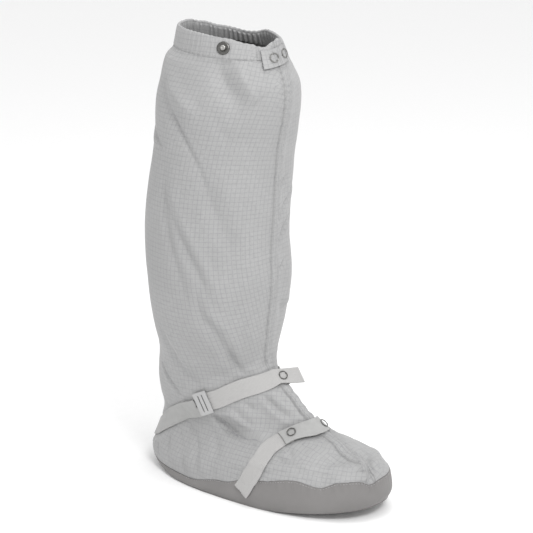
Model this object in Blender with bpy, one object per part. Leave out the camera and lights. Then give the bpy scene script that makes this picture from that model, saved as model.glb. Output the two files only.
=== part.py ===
"""Cleanroom boot: a knee-high cloth overboot with a soft coated sole, standing empty on it.

The boot stands on the plane z = 0 with its toe towards +X. The origin is under the middle of
the sole. Every shell is read from one function: a point at a place (0 at the floor edge of the
sole, 2 at the top seam of the rand, 20 at the rim of the collar) and a turn about the boot
(0 at the centre front, a quarter turn at the +Y side, half a turn at the centre back).
"""

import math
from collections import namedtuple

import bmesh
import bpy
from mathutils import Quaternion, Vector

# Driving dimensions, in metres
SOLE_LENGTH = 0.288
BALL_WIDTH = 0.130
INSTEP_HEIGHT = 0.134
BOOT_HEIGHT = 0.465
SHAFT_WIDTH = 0.142

# Cloth, elastic and sole material
CLOTH_WALL = 0.0014
CASING_WALL = 0.0030
CASING_STEP = 0.0012
SEAM_HALF_WIDTH = 0.0045
SEAM_RISE = 0.0008
SEAM_SHOULDER = 0.0012
PLATE_THICKNESS = 0.0022
PLATE_INSET = 0.006
RAND_WALL = 0.0016
STRAP_THICKNESS = 0.0013
JOINT_GAP = 0.0003

# Rise of the sole's ends off the floor
TOE_SPRING = 0.013
TOE_SPRING_FROM = 0.60
TOE_SPRING_POWER = 1.3
HEEL_SPRING = 0.0090
HEEL_SPRING_FROM = 0.25

Section = namedtuple("Section", "front front_rise back back_rise half_width widest nose heel")

# front and back are shares of the sole length from its heel end, rises are shares of the instep
# height, and half_width is a share of half the ball width. widest is how far along the section
# its widest point lies. nose and heel are the powers of its rounded ends: 2 is an ellipse, less
# is a pointed end and more a square one.
FOOT_SECTIONS = (
    Section(0.976, 0.000, 0.049, 0.000, 0.97, 0.53, 2.20, 2.5),
    Section(0.997, 0.000, 0.024, 0.000, 1.01, 0.54, 2.10, 2.4),
    Section(0.986, 0.000, 0.003, 0.000, 0.95, 0.55, 2.10, 2.4),
    Section(0.969, 0.351, 0.000, 0.127, 0.91, 0.55, 1.95, 2.4),
    Section(0.917, 0.414, 0.021, 0.246, 0.82, 0.54, 1.70, 2.3),
    Section(0.837, 0.478, 0.031, 0.366, 0.69, 0.52, 1.45, 2.2),
    Section(0.750, 0.515, 0.038, 0.485, 0.65, 0.48, 1.25, 2.2),
    Section(0.677, 0.627, 0.035, 0.612, 0.72, 0.44, 1.30, 2.2),
    Section(0.608, 0.761, 0.038, 0.731, 0.77, 0.42, 1.30, 2.2),
    Section(0.528, 0.866, 0.049, 0.866, 0.82, 0.44, 1.50, 2.1),
    Section(0.497, 1.000, 0.062, 1.022, 0.91, 0.48, 1.80, 2.1),
)

# The same, with rises as shares of the boot height and half_width of half the shaft width
SHAFT_SECTIONS = (
    Section(0.503, 0.366, 0.052, 0.370, 0.99, 0.50, 2.00, 2.1),
    Section(0.517, 0.462, 0.031, 0.462, 1.04, 0.50, 2.00, 2.1),
    Section(0.521, 0.548, 0.014, 0.548, 1.01, 0.50, 2.00, 2.1),
    Section(0.531, 0.645, 0.028, 0.645, 1.00, 0.50, 2.00, 2.1),
    Section(0.545, 0.742, 0.062, 0.753, 0.99, 0.50, 2.00, 2.1),
    Section(0.573, 0.828, 0.069, 0.839, 0.96, 0.50, 2.00, 2.1),
    Section(0.576, 0.877, 0.083, 0.888, 0.90, 0.50, 2.00, 2.1),
    Section(0.562, 0.912, 0.101, 0.938, 0.80, 0.50, 1.90, 2.1),
    Section(0.545, 0.940, 0.132, 0.959, 0.70, 0.50, 1.75, 2.1),
    Section(0.528, 0.981, 0.146, 1.000, 0.63, 0.50, 1.60, 2.1),
)

FLOOR_PLACE = 0.0
RAND_PLACE = 2.0
RAND_RINGS = (0.0, 0.9, 1.7, 2.0)
SHELF_PLACES = 0.06
FOOT_RINGS = 20
SHAFT_RINGS = 9
SIDE_COLUMNS = 8
PLAIN_PLACE = 7.0
FOOT_TOP = 10.5
CASING_PLACE = float(len(FOOT_SECTIONS) + 8)
RIM_PLACE = float(len(FOOT_SECTIONS) + len(SHAFT_SECTIONS) - 1)

# Height of the rand's top seam along the sole, heel to toe
SeamHeight = namedtuple("SeamHeight", "share height")
SEAM_HEIGHTS = (
    SeamHeight(0.00, 0.0120),
    SeamHeight(0.15, 0.0085),
    SeamHeight(0.30, 0.0080),
    SeamHeight(0.45, 0.0170),
    SeamHeight(0.60, 0.0290),
    SeamHeight(0.76, 0.0370),
    SeamHeight(0.84, 0.0330),
    SeamHeight(0.90, 0.0400),
    SeamHeight(0.95, 0.0410),
    SeamHeight(1.00, 0.0400),
)
SEAM_BELLY = 0.014
RAND_BELLY_POWER = 1.4

# Height of the rim above its own sloping plane, round the collar
RimWave = namedtuple("RimWave", "degrees height")
RIM_WAVES = (
    RimWave(0, 0.0000),
    RimWave(20, -0.0040),
    RimWave(45, -0.0040),
    RimWave(70, -0.0035),
    RimWave(105, -0.0095),
    RimWave(135, -0.0065),
    RimWave(160, -0.0025),
    RimWave(180, 0.0000),
    RimWave(270, 0.0005),
    RimWave(300, -0.0010),
    RimWave(322, -0.0050),
    RimWave(338, -0.0080),
    RimWave(350, -0.0030),
    RimWave(360, 0.0000),
)

# Pucker where the centre front seam meets the rand at the toe
NOTCH_SIDE = -0.014
NOTCH_REACH = 0.0075
NOTCH_DIP = 0.005
NOTCH_DEPTH = 0.0025

# Straps: the way of each centre line over the boot. rise is how far the strap's inner face stands
# off the boot's form besides its own clearance.
Way = namedtuple("Way", "degrees place rise")
HEEL_TAPE_WAY = (
    Way(281.0, 7.30, 0.0000),
    Way(265.0, 6.85, 0.0000),
    Way(249.0, 6.40, 0.0000),
    Way(232.0, 5.70, 0.0000),
    Way(218.0, 4.95, 0.0000),
    Way(205.0, 4.25, 0.0000),
    Way(192.0, 3.90, 0.0000),
    Way(180.0, 3.80, 0.0000),
    Way(168.0, 3.90, 0.0000),
    Way(155.0, 4.25, 0.0000),
    Way(142.0, 4.95, 0.0000),
    Way(128.0, 5.70, 0.0003),
    Way(111.0, 6.40, 0.0005),
    Way(95.0, 6.85, 0.0003),
    Way(79.0, 7.30, 0.0000),
    Way(63.0, 7.70, 0.0000),
    Way(41.0, 8.35, 0.0000),
    Way(14.0, 8.75, 0.0000),
)
ANKLE_ELASTIC_WAY = (
    Way(283.0, 7.35, 0.0000),
    Way(297.0, 7.70, 0.0000),
    Way(308.0, 8.10, 0.0000),
    Way(319.0, 8.45, 0.0000),
    Way(333.0, 8.70, 0.0000),
    Way(345.0, 8.85, 0.0006),
    Way(352.0, 8.90, 0.0016),
)
INSTEP_STRAP_WAY = (
    Way(270.5, 1.30, 0.0000),
    Way(272.5, 1.75, 0.0000),
    Way(275.0, 2.30, 0.0000),
    Way(278.5, 2.95, 0.0004),
    Way(283.0, 3.50, 0.0007),
    Way(293.0, 4.40, 0.0003),
    Way(308.0, 5.20, 0.0000),
    Way(320.0, 5.70, 0.0000),
)
INSTEP_TAB_WAY = (
    Way(311.0, 5.30, 0.0020),
    Way(322.0, 5.75, 0.0020),
    Way(334.0, 6.08, 0.0020),
    Way(350.0, 6.32, 0.0022),
    Way(366.0, 6.38, 0.0021),
    Way(380.0, 6.15, 0.0012),
    Way(395.0, 5.80, 0.0000),
    Way(410.0, 5.25, 0.0000),
    Way(426.0, 4.40, 0.0002),
    Way(437.0, 3.50, 0.0003),
    Way(441.5, 2.95, 0.0000),
    Way(445.0, 2.30, 0.0000),
    Way(447.5, 1.75, 0.0000),
    Way(449.5, 1.30, 0.0000),
)
COLLAR_TAB_WAY = (
    Way(333.0, 19.03, 0.0011),
    Way(342.0, 19.10, 0.0011),
    Way(351.0, 19.17, 0.0013),
    Way(360.0, 19.24, 0.0014),
    Way(369.0, 19.31, 0.0013),
    Way(379.0, 19.35, 0.0011),
)
STRAP_WIDTH = 0.019
TAB_WIDTH = 0.020
COLLAR_TAB_WIDTH = 0.018
TURNED_END_ROWS = 3
STRAP_CLEARANCE = 0.0007
SEAM_APRON = 0.005
STRAP_SPACING = 0.0075
TAB_SPACING = 0.0045
STRAP_COLUMNS = 3

# The free end of the ankle elastic, which leans off the boot
TAIL_LENGTH = 0.028
TAIL_LEAN = 24
TAIL_ROWS = 4

# Metal snaps and the plastic slider
SNAP_RADIUS = 0.0049
SNAP_HOLE = 0.0037
SNAP_HEIGHT = 0.0010
SNAP_SIDES = 20
STUD_PROFILE = ((0.0064, 0.0), (0.0064, 0.0008), (0.0056, 0.0013), (0.0030, 0.0011), (0.0021, 0.0016),
                (0.0021, 0.0026), (0.0025, 0.0032), (0.0019, 0.0038))
STUD_DEGREES = 297.5
STUD_PLACE = 19.50
SLIDER_LENGTH = 0.0145
SLIDER_WIDTH = 0.0245
SLIDER_THICKNESS = 0.0018
SLIDER_BAR = 0.0025
SLIDER_LIFT = 0.0009

SECTIONS = [
    Section(
        (row.front - 0.5) * SOLE_LENGTH,
        row.front_rise * rise,
        (row.back - 0.5) * SOLE_LENGTH,
        row.back_rise * rise,
        row.half_width * width / 2,
        row.widest,
        row.nose,
        row.heel,
    )
    for rows, rise, width in (
        (FOOT_SECTIONS, INSTEP_HEIGHT, BALL_WIDTH),
        (SHAFT_SECTIONS, BOOT_HEIGHT, SHAFT_WIDTH),
    )
    for row in rows
]


def clear_scene():
    for obj in list(bpy.data.objects):
        bpy.data.objects.remove(obj, do_unlink=True)


def clamp(value):
    return min(max(value, 0.0), 1.0)


def ease(value):
    value = clamp(value)
    return value * value * (3 - 2 * value)


def through(rows, place):
    """Smooth values between the rows at a fractional row number."""
    first = int(min(max(math.floor(place), 0), len(rows) - 2))
    part = place - first
    before = rows[max(first - 1, 0)]
    after = rows[min(first + 2, len(rows) - 1)]
    return [
        0.5
        * (
            2 * b
            + (c - a) * part
            + (2 * a - 5 * b + 4 * c - d) * part**2
            + (3 * b - a - 3 * c + d) * part**3
        )
        for a, b, c, d in zip(before, rows[first], rows[first + 1], after)
    ]


def along_rows(rows, value):
    """The second column at a value of the first, on straight lines eased at each row."""
    for low, high in zip(rows, rows[1:]):
        if value <= high[0]:
            return low[1] + (high[1] - low[1]) * ease((value - low[0]) / (high[0] - low[0]))
    return rows[-1][1]


def spring(x):
    """Height of the sole's underside above the floor."""
    share = x / SOLE_LENGTH + 0.5
    toe = clamp((share - TOE_SPRING_FROM) / (1 - TOE_SPRING_FROM))
    heel = clamp((HEEL_SPRING_FROM - share) / HEEL_SPRING_FROM)
    return TOE_SPRING * toe**TOE_SPRING_POWER + HEEL_SPRING * heel**2


def notch(x, y):
    """1 in the middle of the toe pucker, fading to 0 round it."""
    return math.exp(-(((y - NOTCH_SIDE) / NOTCH_REACH) ** 2)) * ease((x / SOLE_LENGTH - 0.36) / 0.08)


def seam_height(x, y):
    share = clamp(x / SOLE_LENGTH + 0.5)
    return along_rows(SEAM_HEIGHTS, share) - NOTCH_DIP * notch(x, y)


def rim_wave(turn):
    return along_rows(RIM_WAVES, math.degrees(turn) % 360)


def bare_point(place, turn):
    """A point of the boot's smooth form."""
    row = Section(*through(SECTIONS, place))
    cosine, sine = math.cos(turn), math.sin(turn)
    power = 2 / (row.nose if cosine >= 0 else row.heel)
    reach = abs(cosine) ** power
    along = row.widest + (1 - row.widest) * reach if cosine >= 0 else row.widest * (1 - reach)
    x = row.back + (row.front - row.back) * along
    y = math.copysign(row.half_width * abs(sine) ** power, sine)
    z = row.back_rise + (row.front_rise - row.back_rise) * along
    seam = seam_height(x, y)
    third = SECTIONS[3]
    third_z = third.back_rise + (third.front_rise - third.back_rise) * along
    belly = 0.35 * (seam + SEAM_BELLY - third_z)
    if place <= RAND_PLACE:
        floor = spring(x)
        z = floor + (seam - floor) * (place / RAND_PLACE) ** RAND_BELLY_POWER
    elif place < 3:
        z = seam + (place - RAND_PLACE) * (third_z + belly - seam)
    else:
        z += belly * (1 - ease((place - 3) / (PLAIN_PLACE - 3)))
    if place > CASING_PLACE:
        z += rim_wave(turn) * (place - CASING_PLACE) / (RIM_PLACE - CASING_PLACE)
    pucker = NOTCH_DEPTH * notch(x, y) * clamp(1 - abs(place - RAND_PLACE) / 1.5)
    return Vector((x - pucker, y, z))


def outward(place, turn):
    """The boot's outward normal."""
    step = 0.03
    low, high = max(place - step, FLOOR_PLACE), min(place + step, RIM_PLACE)
    up = bare_point(high, turn) - bare_point(low, turn)
    around = bare_point(place, turn + step) - bare_point(place, turn - step)
    return around.cross(up).normalized()


def point(place, turn, lift=0.0):
    """A point that stands off the boot's form by lift."""
    return bare_point(place, turn) + outward(place, turn) * lift


def seam_turn(row, power, half_width):
    """The turn from the middle seam at which the section is half_width to its side."""
    return math.asin(min((half_width / row.half_width) ** (power / 2), 1.0))


def ring_columns(place, quarter):
    """(turn, share of the seam's rise) round the boot, with columns on both seams' edges."""
    row = Section(*through(SECTIONS, place))
    half = []
    for power, start, sense in ((row.nose, 0.0, 1), (row.heel, math.pi, -1)):
        edge = seam_turn(row, power, SEAM_HALF_WIDTH)
        foot = seam_turn(row, power, SEAM_HALF_WIDTH + SEAM_SHOULDER)
        turns = [(start, 1.0), (start + sense * edge, 1.0), (start + sense * foot, 0.0)]
        for n in range(1, quarter):
            turns.append((start + sense * (foot + (math.pi / 2 - foot) * n / quarter), 0.0))
        half.append(turns)
    one_side = half[0] + [(math.pi / 2, 0.0)] + half[1][::-1]
    other_side = [(2 * math.pi - turn, rise) for turn, rise in one_side[-2:0:-1]]
    return one_side + other_side


def new_material(name, colour, roughness, metallic=0.0):
    material = bpy.data.materials.new(name)
    material.use_nodes = True
    shader = material.node_tree.nodes["Principled BSDF"]
    shader.inputs["Base Color"].default_value = (*colour, 1.0)
    shader.inputs["Roughness"].default_value = roughness
    shader.inputs["Metallic"].default_value = metallic
    return material


def new_object(name, mesh_data, material):
    """Turns a bmesh into an object with this material."""
    bmesh.ops.recalc_face_normals(mesh_data, faces=mesh_data.faces)
    mesh = bpy.data.meshes.new(name)
    mesh_data.to_mesh(mesh)
    mesh_data.free()
    mesh.materials.append(material)
    obj = bpy.data.objects.new(name, mesh)
    bpy.context.scene.collection.objects.link(obj)
    return obj


def loop_of(shell, points):
    return [shell.verts.new(p) for p in points]


def skin(shell, loops):
    """Quads between each closed loop of vertices and the next."""
    for low, high in zip(loops, loops[1:]):
        for n in range(len(low)):
            shell.faces.new((low[n - 1], low[n], high[n], high[n - 1]))


def wall_between(shell, outer, inner):
    """Skins two stacks of loops and closes them at both ends, as one hollow wall."""
    skin(shell, outer + inner[::-1] + outer[:1])


Ring = namedtuple("Ring", "place lift wall seam")


def shell_wall(name, rings, material):
    """A hollow wall: its outer face is lift off the boot's form, with the seams raised on it."""
    shell = bmesh.new()
    outer, inner = [], []
    for ring in rings:
        columns = ring_columns(ring.place, SIDE_COLUMNS)
        outer.append(
            loop_of(
                shell,
                [point(ring.place, turn, ring.lift + ring.seam * rise) for turn, rise in columns],
            )
        )
        inner.append(
            loop_of(
                shell,
                [point(ring.place, turn, ring.lift - ring.wall) for turn, rise in columns],
            )
        )
    wall_between(shell, outer, inner)
    return new_object(name, shell, material)


def make_upper(material):
    """The cloth shell: lapped inside the rand at its foot, stepped at the collar casing."""
    lap = -(RAND_WALL + JOINT_GAP)
    shelf = RAND_PLACE + SHELF_PLACES
    rings = [Ring(place, lap, CLOTH_WALL, 0.0) for place in (RAND_RINGS[-2], RAND_PLACE, shelf)]
    rings.append(Ring(shelf + SHELF_PLACES, 0.0, CLOTH_WALL, SEAM_RISE))
    first, last = RAND_PLACE + 0.4, CASING_PLACE - 0.05
    places = [first + (FOOT_TOP - first) * n / FOOT_RINGS for n in range(FOOT_RINGS)]
    places += [FOOT_TOP + (last - FOOT_TOP) * n / SHAFT_RINGS for n in range(SHAFT_RINGS + 1)]
    rings += [Ring(place, 0.0, CLOTH_WALL, SEAM_RISE) for place in places]
    for share in (0.06, 0.5, 1.0):
        place = CASING_PLACE + (RIM_PLACE - CASING_PLACE) * share
        rings.append(Ring(place, CASING_STEP, CASING_WALL, SEAM_RISE))
    return shell_wall("upper", rings, material)


def sole_loop(shell, inset, rise):
    """The floor outline moved inwards, standing off the sole's underside by rise."""
    points = []
    for turn, _ in ring_columns(FLOOR_PLACE, SIDE_COLUMNS):
        edge = bare_point(FLOOR_PLACE, turn)
        ahead = bare_point(FLOOR_PLACE, turn + 0.02) - bare_point(FLOOR_PLACE, turn - 0.02)
        inward = Vector((-ahead.y, ahead.x, 0.0)).normalized() * inset
        x, y = edge.x + inward.x, edge.y + inward.y
        points.append((x, y, spring(x) + rise))
    return loop_of(shell, points)


def make_rand(material):
    """The side band, turned under the foot as far as the bottom panel."""
    shell = bmesh.new()
    outer = [sole_loop(shell, PLATE_INSET, 0.0)]
    inner = [sole_loop(shell, PLATE_INSET, RAND_WALL)]
    outer.append(sole_loop(shell, 0.0, 0.0))
    inner.append(sole_loop(shell, RAND_WALL, RAND_WALL))
    for place in RAND_RINGS[1:]:
        turns = [turn for turn, _ in ring_columns(place, SIDE_COLUMNS)]
        outer.append(loop_of(shell, [point(place, turn) for turn in turns]))
        inner.append(loop_of(shell, [point(place, turn, -RAND_WALL) for turn in turns]))
    wall_between(shell, outer, inner)
    return new_object("rand", shell, material)


def make_outsole(material):
    """The bottom panel, laid in strips across so that it follows the sole's spring."""
    shell = bmesh.new()
    low, high = (sole_loop(shell, PLATE_INSET + JOINT_GAP, rise) for rise in (0.0, PLATE_THICKNESS))
    skin(shell, [low, high])
    for rim in (low, high):
        for n in range(len(rim) // 2):
            strip = (rim[n], rim[n + 1], rim[-n - 1], rim[-n])
            shell.faces.new(tuple(dict.fromkeys(strip)))
    return new_object("outsole", shell, material)


def seam_apron(where):
    """How far the raised seams push a strap outwards here."""
    return SEAM_RISE * ease((SEAM_HALF_WIDTH + SEAM_APRON - abs(where.y)) / SEAM_APRON)


def walk(place, turn, heading):
    """The place and turn reached by moving over the boot's form by this small vector."""
    step = 0.03
    up = (bare_point(place + step, turn) - bare_point(place - step, turn)) / (2 * step)
    around = (bare_point(place, turn + step) - bare_point(place, turn - step)) / (2 * step)
    uu, aa, ua = up.dot(up), around.dot(around), up.dot(around)
    hu, ha = heading.dot(up), heading.dot(around)
    det = uu * aa - ua * ua
    new_place = place + (hu * aa - ha * ua) / det
    return min(max(new_place, FLOOR_PLACE), RIM_PLACE), turn + (ha * uu - hu * ua) / det


Station = namedtuple("Station", "along across normal sites rise")


def stations(way, width, spacing):
    """Evenly spaced cross sections of a strap: the sites (place, turn) across it at each."""
    fine = [through(way, n / 8) for n in range(8 * (len(way) - 1) + 1)]
    spots = [bare_point(p, math.radians(d)) for d, p, _ in fine]
    lengths = [0.0]
    for a, b in zip(spots, spots[1:]):
        lengths.append(lengths[-1] + (b - a).length)
    count = max(round(lengths[-1] / spacing), 2)
    result = []
    for n in range(count + 1):
        target = lengths[-1] * n / count
        k = max(i for i in range(len(fine) - 1) if lengths[i] <= target + 1e-9)
        part = (target - lengths[k]) / (lengths[k + 1] - lengths[k])
        degrees, place, rise = [a + (b - a) * part for a, b in zip(fine[k], fine[k + 1])]
        turn = math.radians(degrees)
        along = (spots[k + 1] - spots[k]).normalized()
        normal = outward(place, turn)
        across = normal.cross(along).normalized()
        sites = {0: (place, turn)}
        for sense in (1, -1):
            site = (place, turn)
            for m in range(1, STRAP_COLUMNS + 1):
                site = walk(*site, across * sense * width / 2 / STRAP_COLUMNS)
                sites[sense * m] = site
        result.append(Station(along, across, normal, [sites[m] for m in sorted(sites)], rise))
    return result


def bridged(points, normal):
    """A cross section lifted onto the straight lines over its hollows, as taut cloth lies."""
    result = list(points)
    for i, low in enumerate(points):
        for j in range(i + 2, len(points)):
            span = points[j] - low
            for m in range(i + 1, j):
                line = low + span * ((points[m] - low).dot(span) / span.dot(span))
                result[m] = result[m] + normal * max((line - result[m]).dot(normal), 0.0)
    return result


def strap_faces(way, width, spacing=STRAP_SPACING):
    """Rows of (inner point, outer point) pairs across a strap."""
    rows = []
    for station in stations(way, width, spacing):
        inner = []
        for place, turn in station.sites:
            lift = STRAP_CLEARANCE + station.rise + seam_apron(bare_point(place, turn))
            inner.append(point(place, turn, lift))
        inner = bridged(inner, station.normal)
        row = []
        for m, spot in enumerate(inner):
            across = inner[min(m + 1, len(inner) - 1)] - inner[max(m - 1, 0)]
            row.append((spot, spot + station.along.cross(across).normalized() * STRAP_THICKNESS))
        rows.append(row)
    return rows


def add_tail(rows, length, lean):
    """Carries a strap straight on from its last row, turning about its upper edge."""
    last, before = rows[-1], rows[-2]
    middle = len(last) // 2
    ahead = last[middle][0] - before[middle][0]
    ahead = Vector((ahead.x, ahead.y, 0.0)).normalized()
    top = max(last, key=lambda pair: pair[0].z)[0]
    for n in range(1, TAIL_ROWS + 1):
        share = n / TAIL_ROWS
        turn = Quaternion(ahead, math.radians(lean) * ease(share))
        rows.append([tuple(top + turn @ (p - top) + ahead * length * share for p in pair) for pair in last])


def strap_object(name, rows, material):
    strap = bmesh.new()
    loops = []
    for row in rows:
        inner = [pair[0] for pair in row]
        outer = [pair[1] for pair in reversed(row)]
        loops.append(loop_of(strap, inner + outer))
    skin(strap, loops)
    for end in (loops[0], loops[-1]):
        strap.faces.new(end)
    return new_object(name, strap, material)


def turned(name, profile, centre, normal, material, hollow=False):
    """A round piece: its (radius, height) profile spun about the normal at the centre."""
    piece = bmesh.new()
    turn = normal.to_track_quat("Z", "Y")
    stack = []
    for radius, height in profile:
        ring = [
            centre + turn @ Vector((radius * math.cos(a), radius * math.sin(a), height))
            for a in (2 * math.pi * n / SNAP_SIDES for n in range(SNAP_SIDES))
        ]
        stack.append(loop_of(piece, ring))
    skin(piece, stack + stack[:1] if hollow else stack)
    if not hollow:
        piece.faces.new(stack[0])
        piece.faces.new(stack[-1])
    return new_object(name, piece, material)


def on_strap(rows, share):
    """The middle of a strap's outer face and its normal, at a share of its length."""
    exact = share * (len(rows) - 1)
    k = min(int(exact), len(rows) - 2)
    middle = len(rows[0]) // 2
    low, high = rows[k], rows[k + 1]
    centre = low[middle][1].lerp(high[middle][1], exact - k)
    along = (high[middle][1] - low[middle][1]).normalized()
    across = sum((row[middle + 1][1] - row[middle - 1][1] for row in (low, high)), Vector())
    return centre, along.cross(across).normalized(), along


def ring_snap(name, rows, share, material):
    centre, normal, _ = on_strap(rows, share)
    profile = (
        (SNAP_HOLE, 0.0),
        (SNAP_RADIUS, 0.0),
        (SNAP_RADIUS, SNAP_HEIGHT),
        (SNAP_HOLE, SNAP_HEIGHT),
    )
    lift = JOINT_GAP
    for low, high in zip(rows, rows[1:]):
        for m in range(len(low) - 1):
            for n in range(16):
                left = low[m][1].lerp(high[m][1], n // 4 / 3)
                right = low[m + 1][1].lerp(high[m + 1][1], n // 4 / 3)
                off = left.lerp(right, n % 4 / 3) - centre
                height = off.dot(normal)
                if (off - normal * height).length < SNAP_RADIUS:
                    lift = max(lift, height + JOINT_GAP)
    return turned(name, profile, centre + normal * lift, normal, material, hollow=True)


def make_slider(rows, material):
    """The slide buckle: a flat frame with a middle bar, over the meeting ends of the strap."""
    centre, normal, along = on_strap(rows, 0.0)
    across = normal.cross(along).normalized()
    centre = centre + normal * SLIDER_LIFT
    half, wide = SLIDER_LENGTH / 2, SLIDER_WIDTH / 2
    lines = (-half, -half + SLIDER_BAR, -SLIDER_BAR / 2, SLIDER_BAR / 2, half - SLIDER_BAR, half)
    levels = (-wide, -wide + SLIDER_BAR, wide - SLIDER_BAR, wide)
    frame = bmesh.new()
    grid = [[frame.verts.new(centre + along * a + across * b) for b in levels] for a in lines]
    for m in range(len(lines) - 1):
        for n in range(len(levels) - 1):
            if m in (1, 3) and n == 1:
                continue
            frame.faces.new((grid[m][n], grid[m + 1][n], grid[m + 1][n + 1], grid[m][n + 1]))
    lifted = bmesh.ops.extrude_face_region(frame, geom=frame.faces[:])
    top = [v for v in lifted["geom"] if isinstance(v, bmesh.types.BMVert)]
    bmesh.ops.translate(frame, verts=top, vec=normal * SLIDER_THICKNESS)
    return new_object("ankle_slider", frame, material)


def make_straps(cloth, elastic, plastic, metal):
    tape = strap_faces(HEEL_TAPE_WAY, STRAP_WIDTH)
    strap_object("ankle_tape", tape, cloth)
    turned_way = [Way(w.degrees, w.place, w.rise + STRAP_THICKNESS + JOINT_GAP) for w in HEEL_TAPE_WAY]
    turned_end = strap_faces(turned_way, STRAP_WIDTH)[1 : TURNED_END_ROWS + 1]
    strap_object("ankle_tape_end", turned_end, cloth)
    ankle = strap_faces(ANKLE_ELASTIC_WAY, STRAP_WIDTH)
    make_slider(ankle, plastic)
    add_tail(ankle, TAIL_LENGTH, TAIL_LEAN)
    strap_object("ankle_elastic", ankle, elastic)
    ring_snap("ankle_snap", ankle, 0.79, metal)
    instep = strap_faces(INSTEP_STRAP_WAY, STRAP_WIDTH)
    strap_object("instep_strap", instep, elastic)
    tab = strap_faces(INSTEP_TAB_WAY, TAB_WIDTH, TAB_SPACING)
    strap_object("instep_tab", tab, cloth)
    ring_snap("instep_snap_a", tab, 0.07, metal)
    ring_snap("instep_snap_b", tab, 0.28, metal)
    collar = strap_faces(COLLAR_TAB_WAY, COLLAR_TAB_WIDTH, TAB_SPACING)
    strap_object("collar_tab", collar, cloth)
    ring_snap("collar_snap_a", collar, 0.34, metal)
    ring_snap("collar_snap_b", collar, 0.68, metal)


def make_stud(metal):
    turn = math.radians(STUD_DEGREES)
    normal = outward(STUD_PLACE, turn)
    centre = point(STUD_PLACE, turn, CASING_STEP + 2 * JOINT_GAP)
    return turned("collar_stud", STUD_PROFILE, centre, normal, metal)


def main():
    clear_scene()
    cloth = new_material("grid_cloth", (0.45, 0.45, 0.46), 0.75)
    coated = new_material("coated_cloth", (0.23, 0.23, 0.23), 0.6)
    elastic = new_material("ribbed_elastic", (0.55, 0.55, 0.53), 0.8)
    plastic = new_material("pale_plastic", (0.5, 0.5, 0.5), 0.35)
    metal = new_material("snap_metal", (0.4, 0.4, 0.4), 0.35, metallic=1.0)
    make_upper(cloth)
    make_rand(coated)
    make_outsole(coated)
    make_straps(cloth, elastic, plastic, metal)
    make_stud(metal)


main()
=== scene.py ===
"""Looks of the cleanroom boot: gridded cloth with its folds, coated sole, straps and snaps."""

import math

import bmesh
import bpy
import numpy as np
from mathutils import Matrix, Quaternion, Vector, kdtree, noise


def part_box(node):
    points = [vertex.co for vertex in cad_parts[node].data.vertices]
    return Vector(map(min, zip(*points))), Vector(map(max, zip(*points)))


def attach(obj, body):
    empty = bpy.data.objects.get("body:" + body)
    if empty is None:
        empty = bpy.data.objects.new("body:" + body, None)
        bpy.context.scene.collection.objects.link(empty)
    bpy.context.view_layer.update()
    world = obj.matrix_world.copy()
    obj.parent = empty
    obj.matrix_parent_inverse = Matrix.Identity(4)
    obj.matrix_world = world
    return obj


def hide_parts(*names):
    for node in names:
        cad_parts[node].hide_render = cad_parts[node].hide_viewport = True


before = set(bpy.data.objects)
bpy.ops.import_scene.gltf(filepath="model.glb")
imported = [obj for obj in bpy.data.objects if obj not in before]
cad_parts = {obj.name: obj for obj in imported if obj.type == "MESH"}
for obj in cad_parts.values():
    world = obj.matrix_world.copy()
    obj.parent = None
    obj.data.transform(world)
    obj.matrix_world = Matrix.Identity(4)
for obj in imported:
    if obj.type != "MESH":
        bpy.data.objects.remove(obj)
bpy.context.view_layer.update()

bl_info = {
    "name": "Cleanroom boot",
    "version": (1, 0, 0),
    "blender": (4, 5, 0),
    "location": "View3D > Sidebar > Boot",
    "description": "Cloth, folds, sole, straps and snaps of a knee-high cleanroom boot",
    "category": "Object",
}

MM = 0.001

# The boot's form, as in its solids. One row for each section from the floor up, in mm:
# front x and height, back x and height, half width, where the widest point lies, and the powers
# of the rounded nose and heel ends.
SECTION_ROWS = (
    (137, 0, -130, 0, 63.0, 0.53, 2.20, 2.5),
    (143, 0, -137, 0, 65.6, 0.54, 2.10, 2.4),
    (140, 0, -143, 0, 61.8, 0.55, 2.10, 2.4),
    (135, 47, -144, 17, 59.2, 0.55, 1.95, 2.4),
    (120, 55.5, -138, 33, 53.3, 0.54, 1.70, 2.3),
    (97, 64, -135, 49, 44.9, 0.52, 1.45, 2.2),
    (72, 69, -133, 65, 42.3, 0.48, 1.25, 2.2),
    (51, 84, -134, 82, 46.8, 0.44, 1.30, 2.2),
    (31, 102, -133, 98, 50.1, 0.42, 1.30, 2.2),
    (8, 116, -130, 116, 53.3, 0.44, 1.50, 2.1),
    (-1, 134, -126, 137, 59.2, 0.48, 1.80, 2.1),
    (1, 170, -129, 172, 70.3, 0.50, 2.00, 2.1),
    (5, 215, -135, 215, 73.8, 0.50, 2.00, 2.1),
    (6, 255, -140, 255, 71.7, 0.50, 2.00, 2.1),
    (9, 300, -136, 300, 71.0, 0.50, 2.00, 2.1),
    (13, 345, -126, 350, 70.3, 0.50, 2.00, 2.1),
    (21, 385, -124, 390, 68.2, 0.50, 2.00, 2.1),
    (22, 408, -120, 413, 63.9, 0.50, 2.00, 2.1),
    (18, 424, -115, 436, 56.8, 0.50, 1.90, 2.1),
    (13, 437, -106, 446, 49.7, 0.50, 1.75, 2.1),
    (8, 456, -102, 465, 44.7, 0.50, 1.60, 2.1),
)
IN_MM = np.array([MM, MM, MM, MM, MM, 1, 1, 1])
SECTIONS = np.array(SECTION_ROWS) * IN_MM
SOLE_LENGTH = 0.288
RAND_PLACE, CASING_PLACE, RIM_PLACE, PLAIN_PLACE = 2.0, 19.0, 20.0, 7.0

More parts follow.
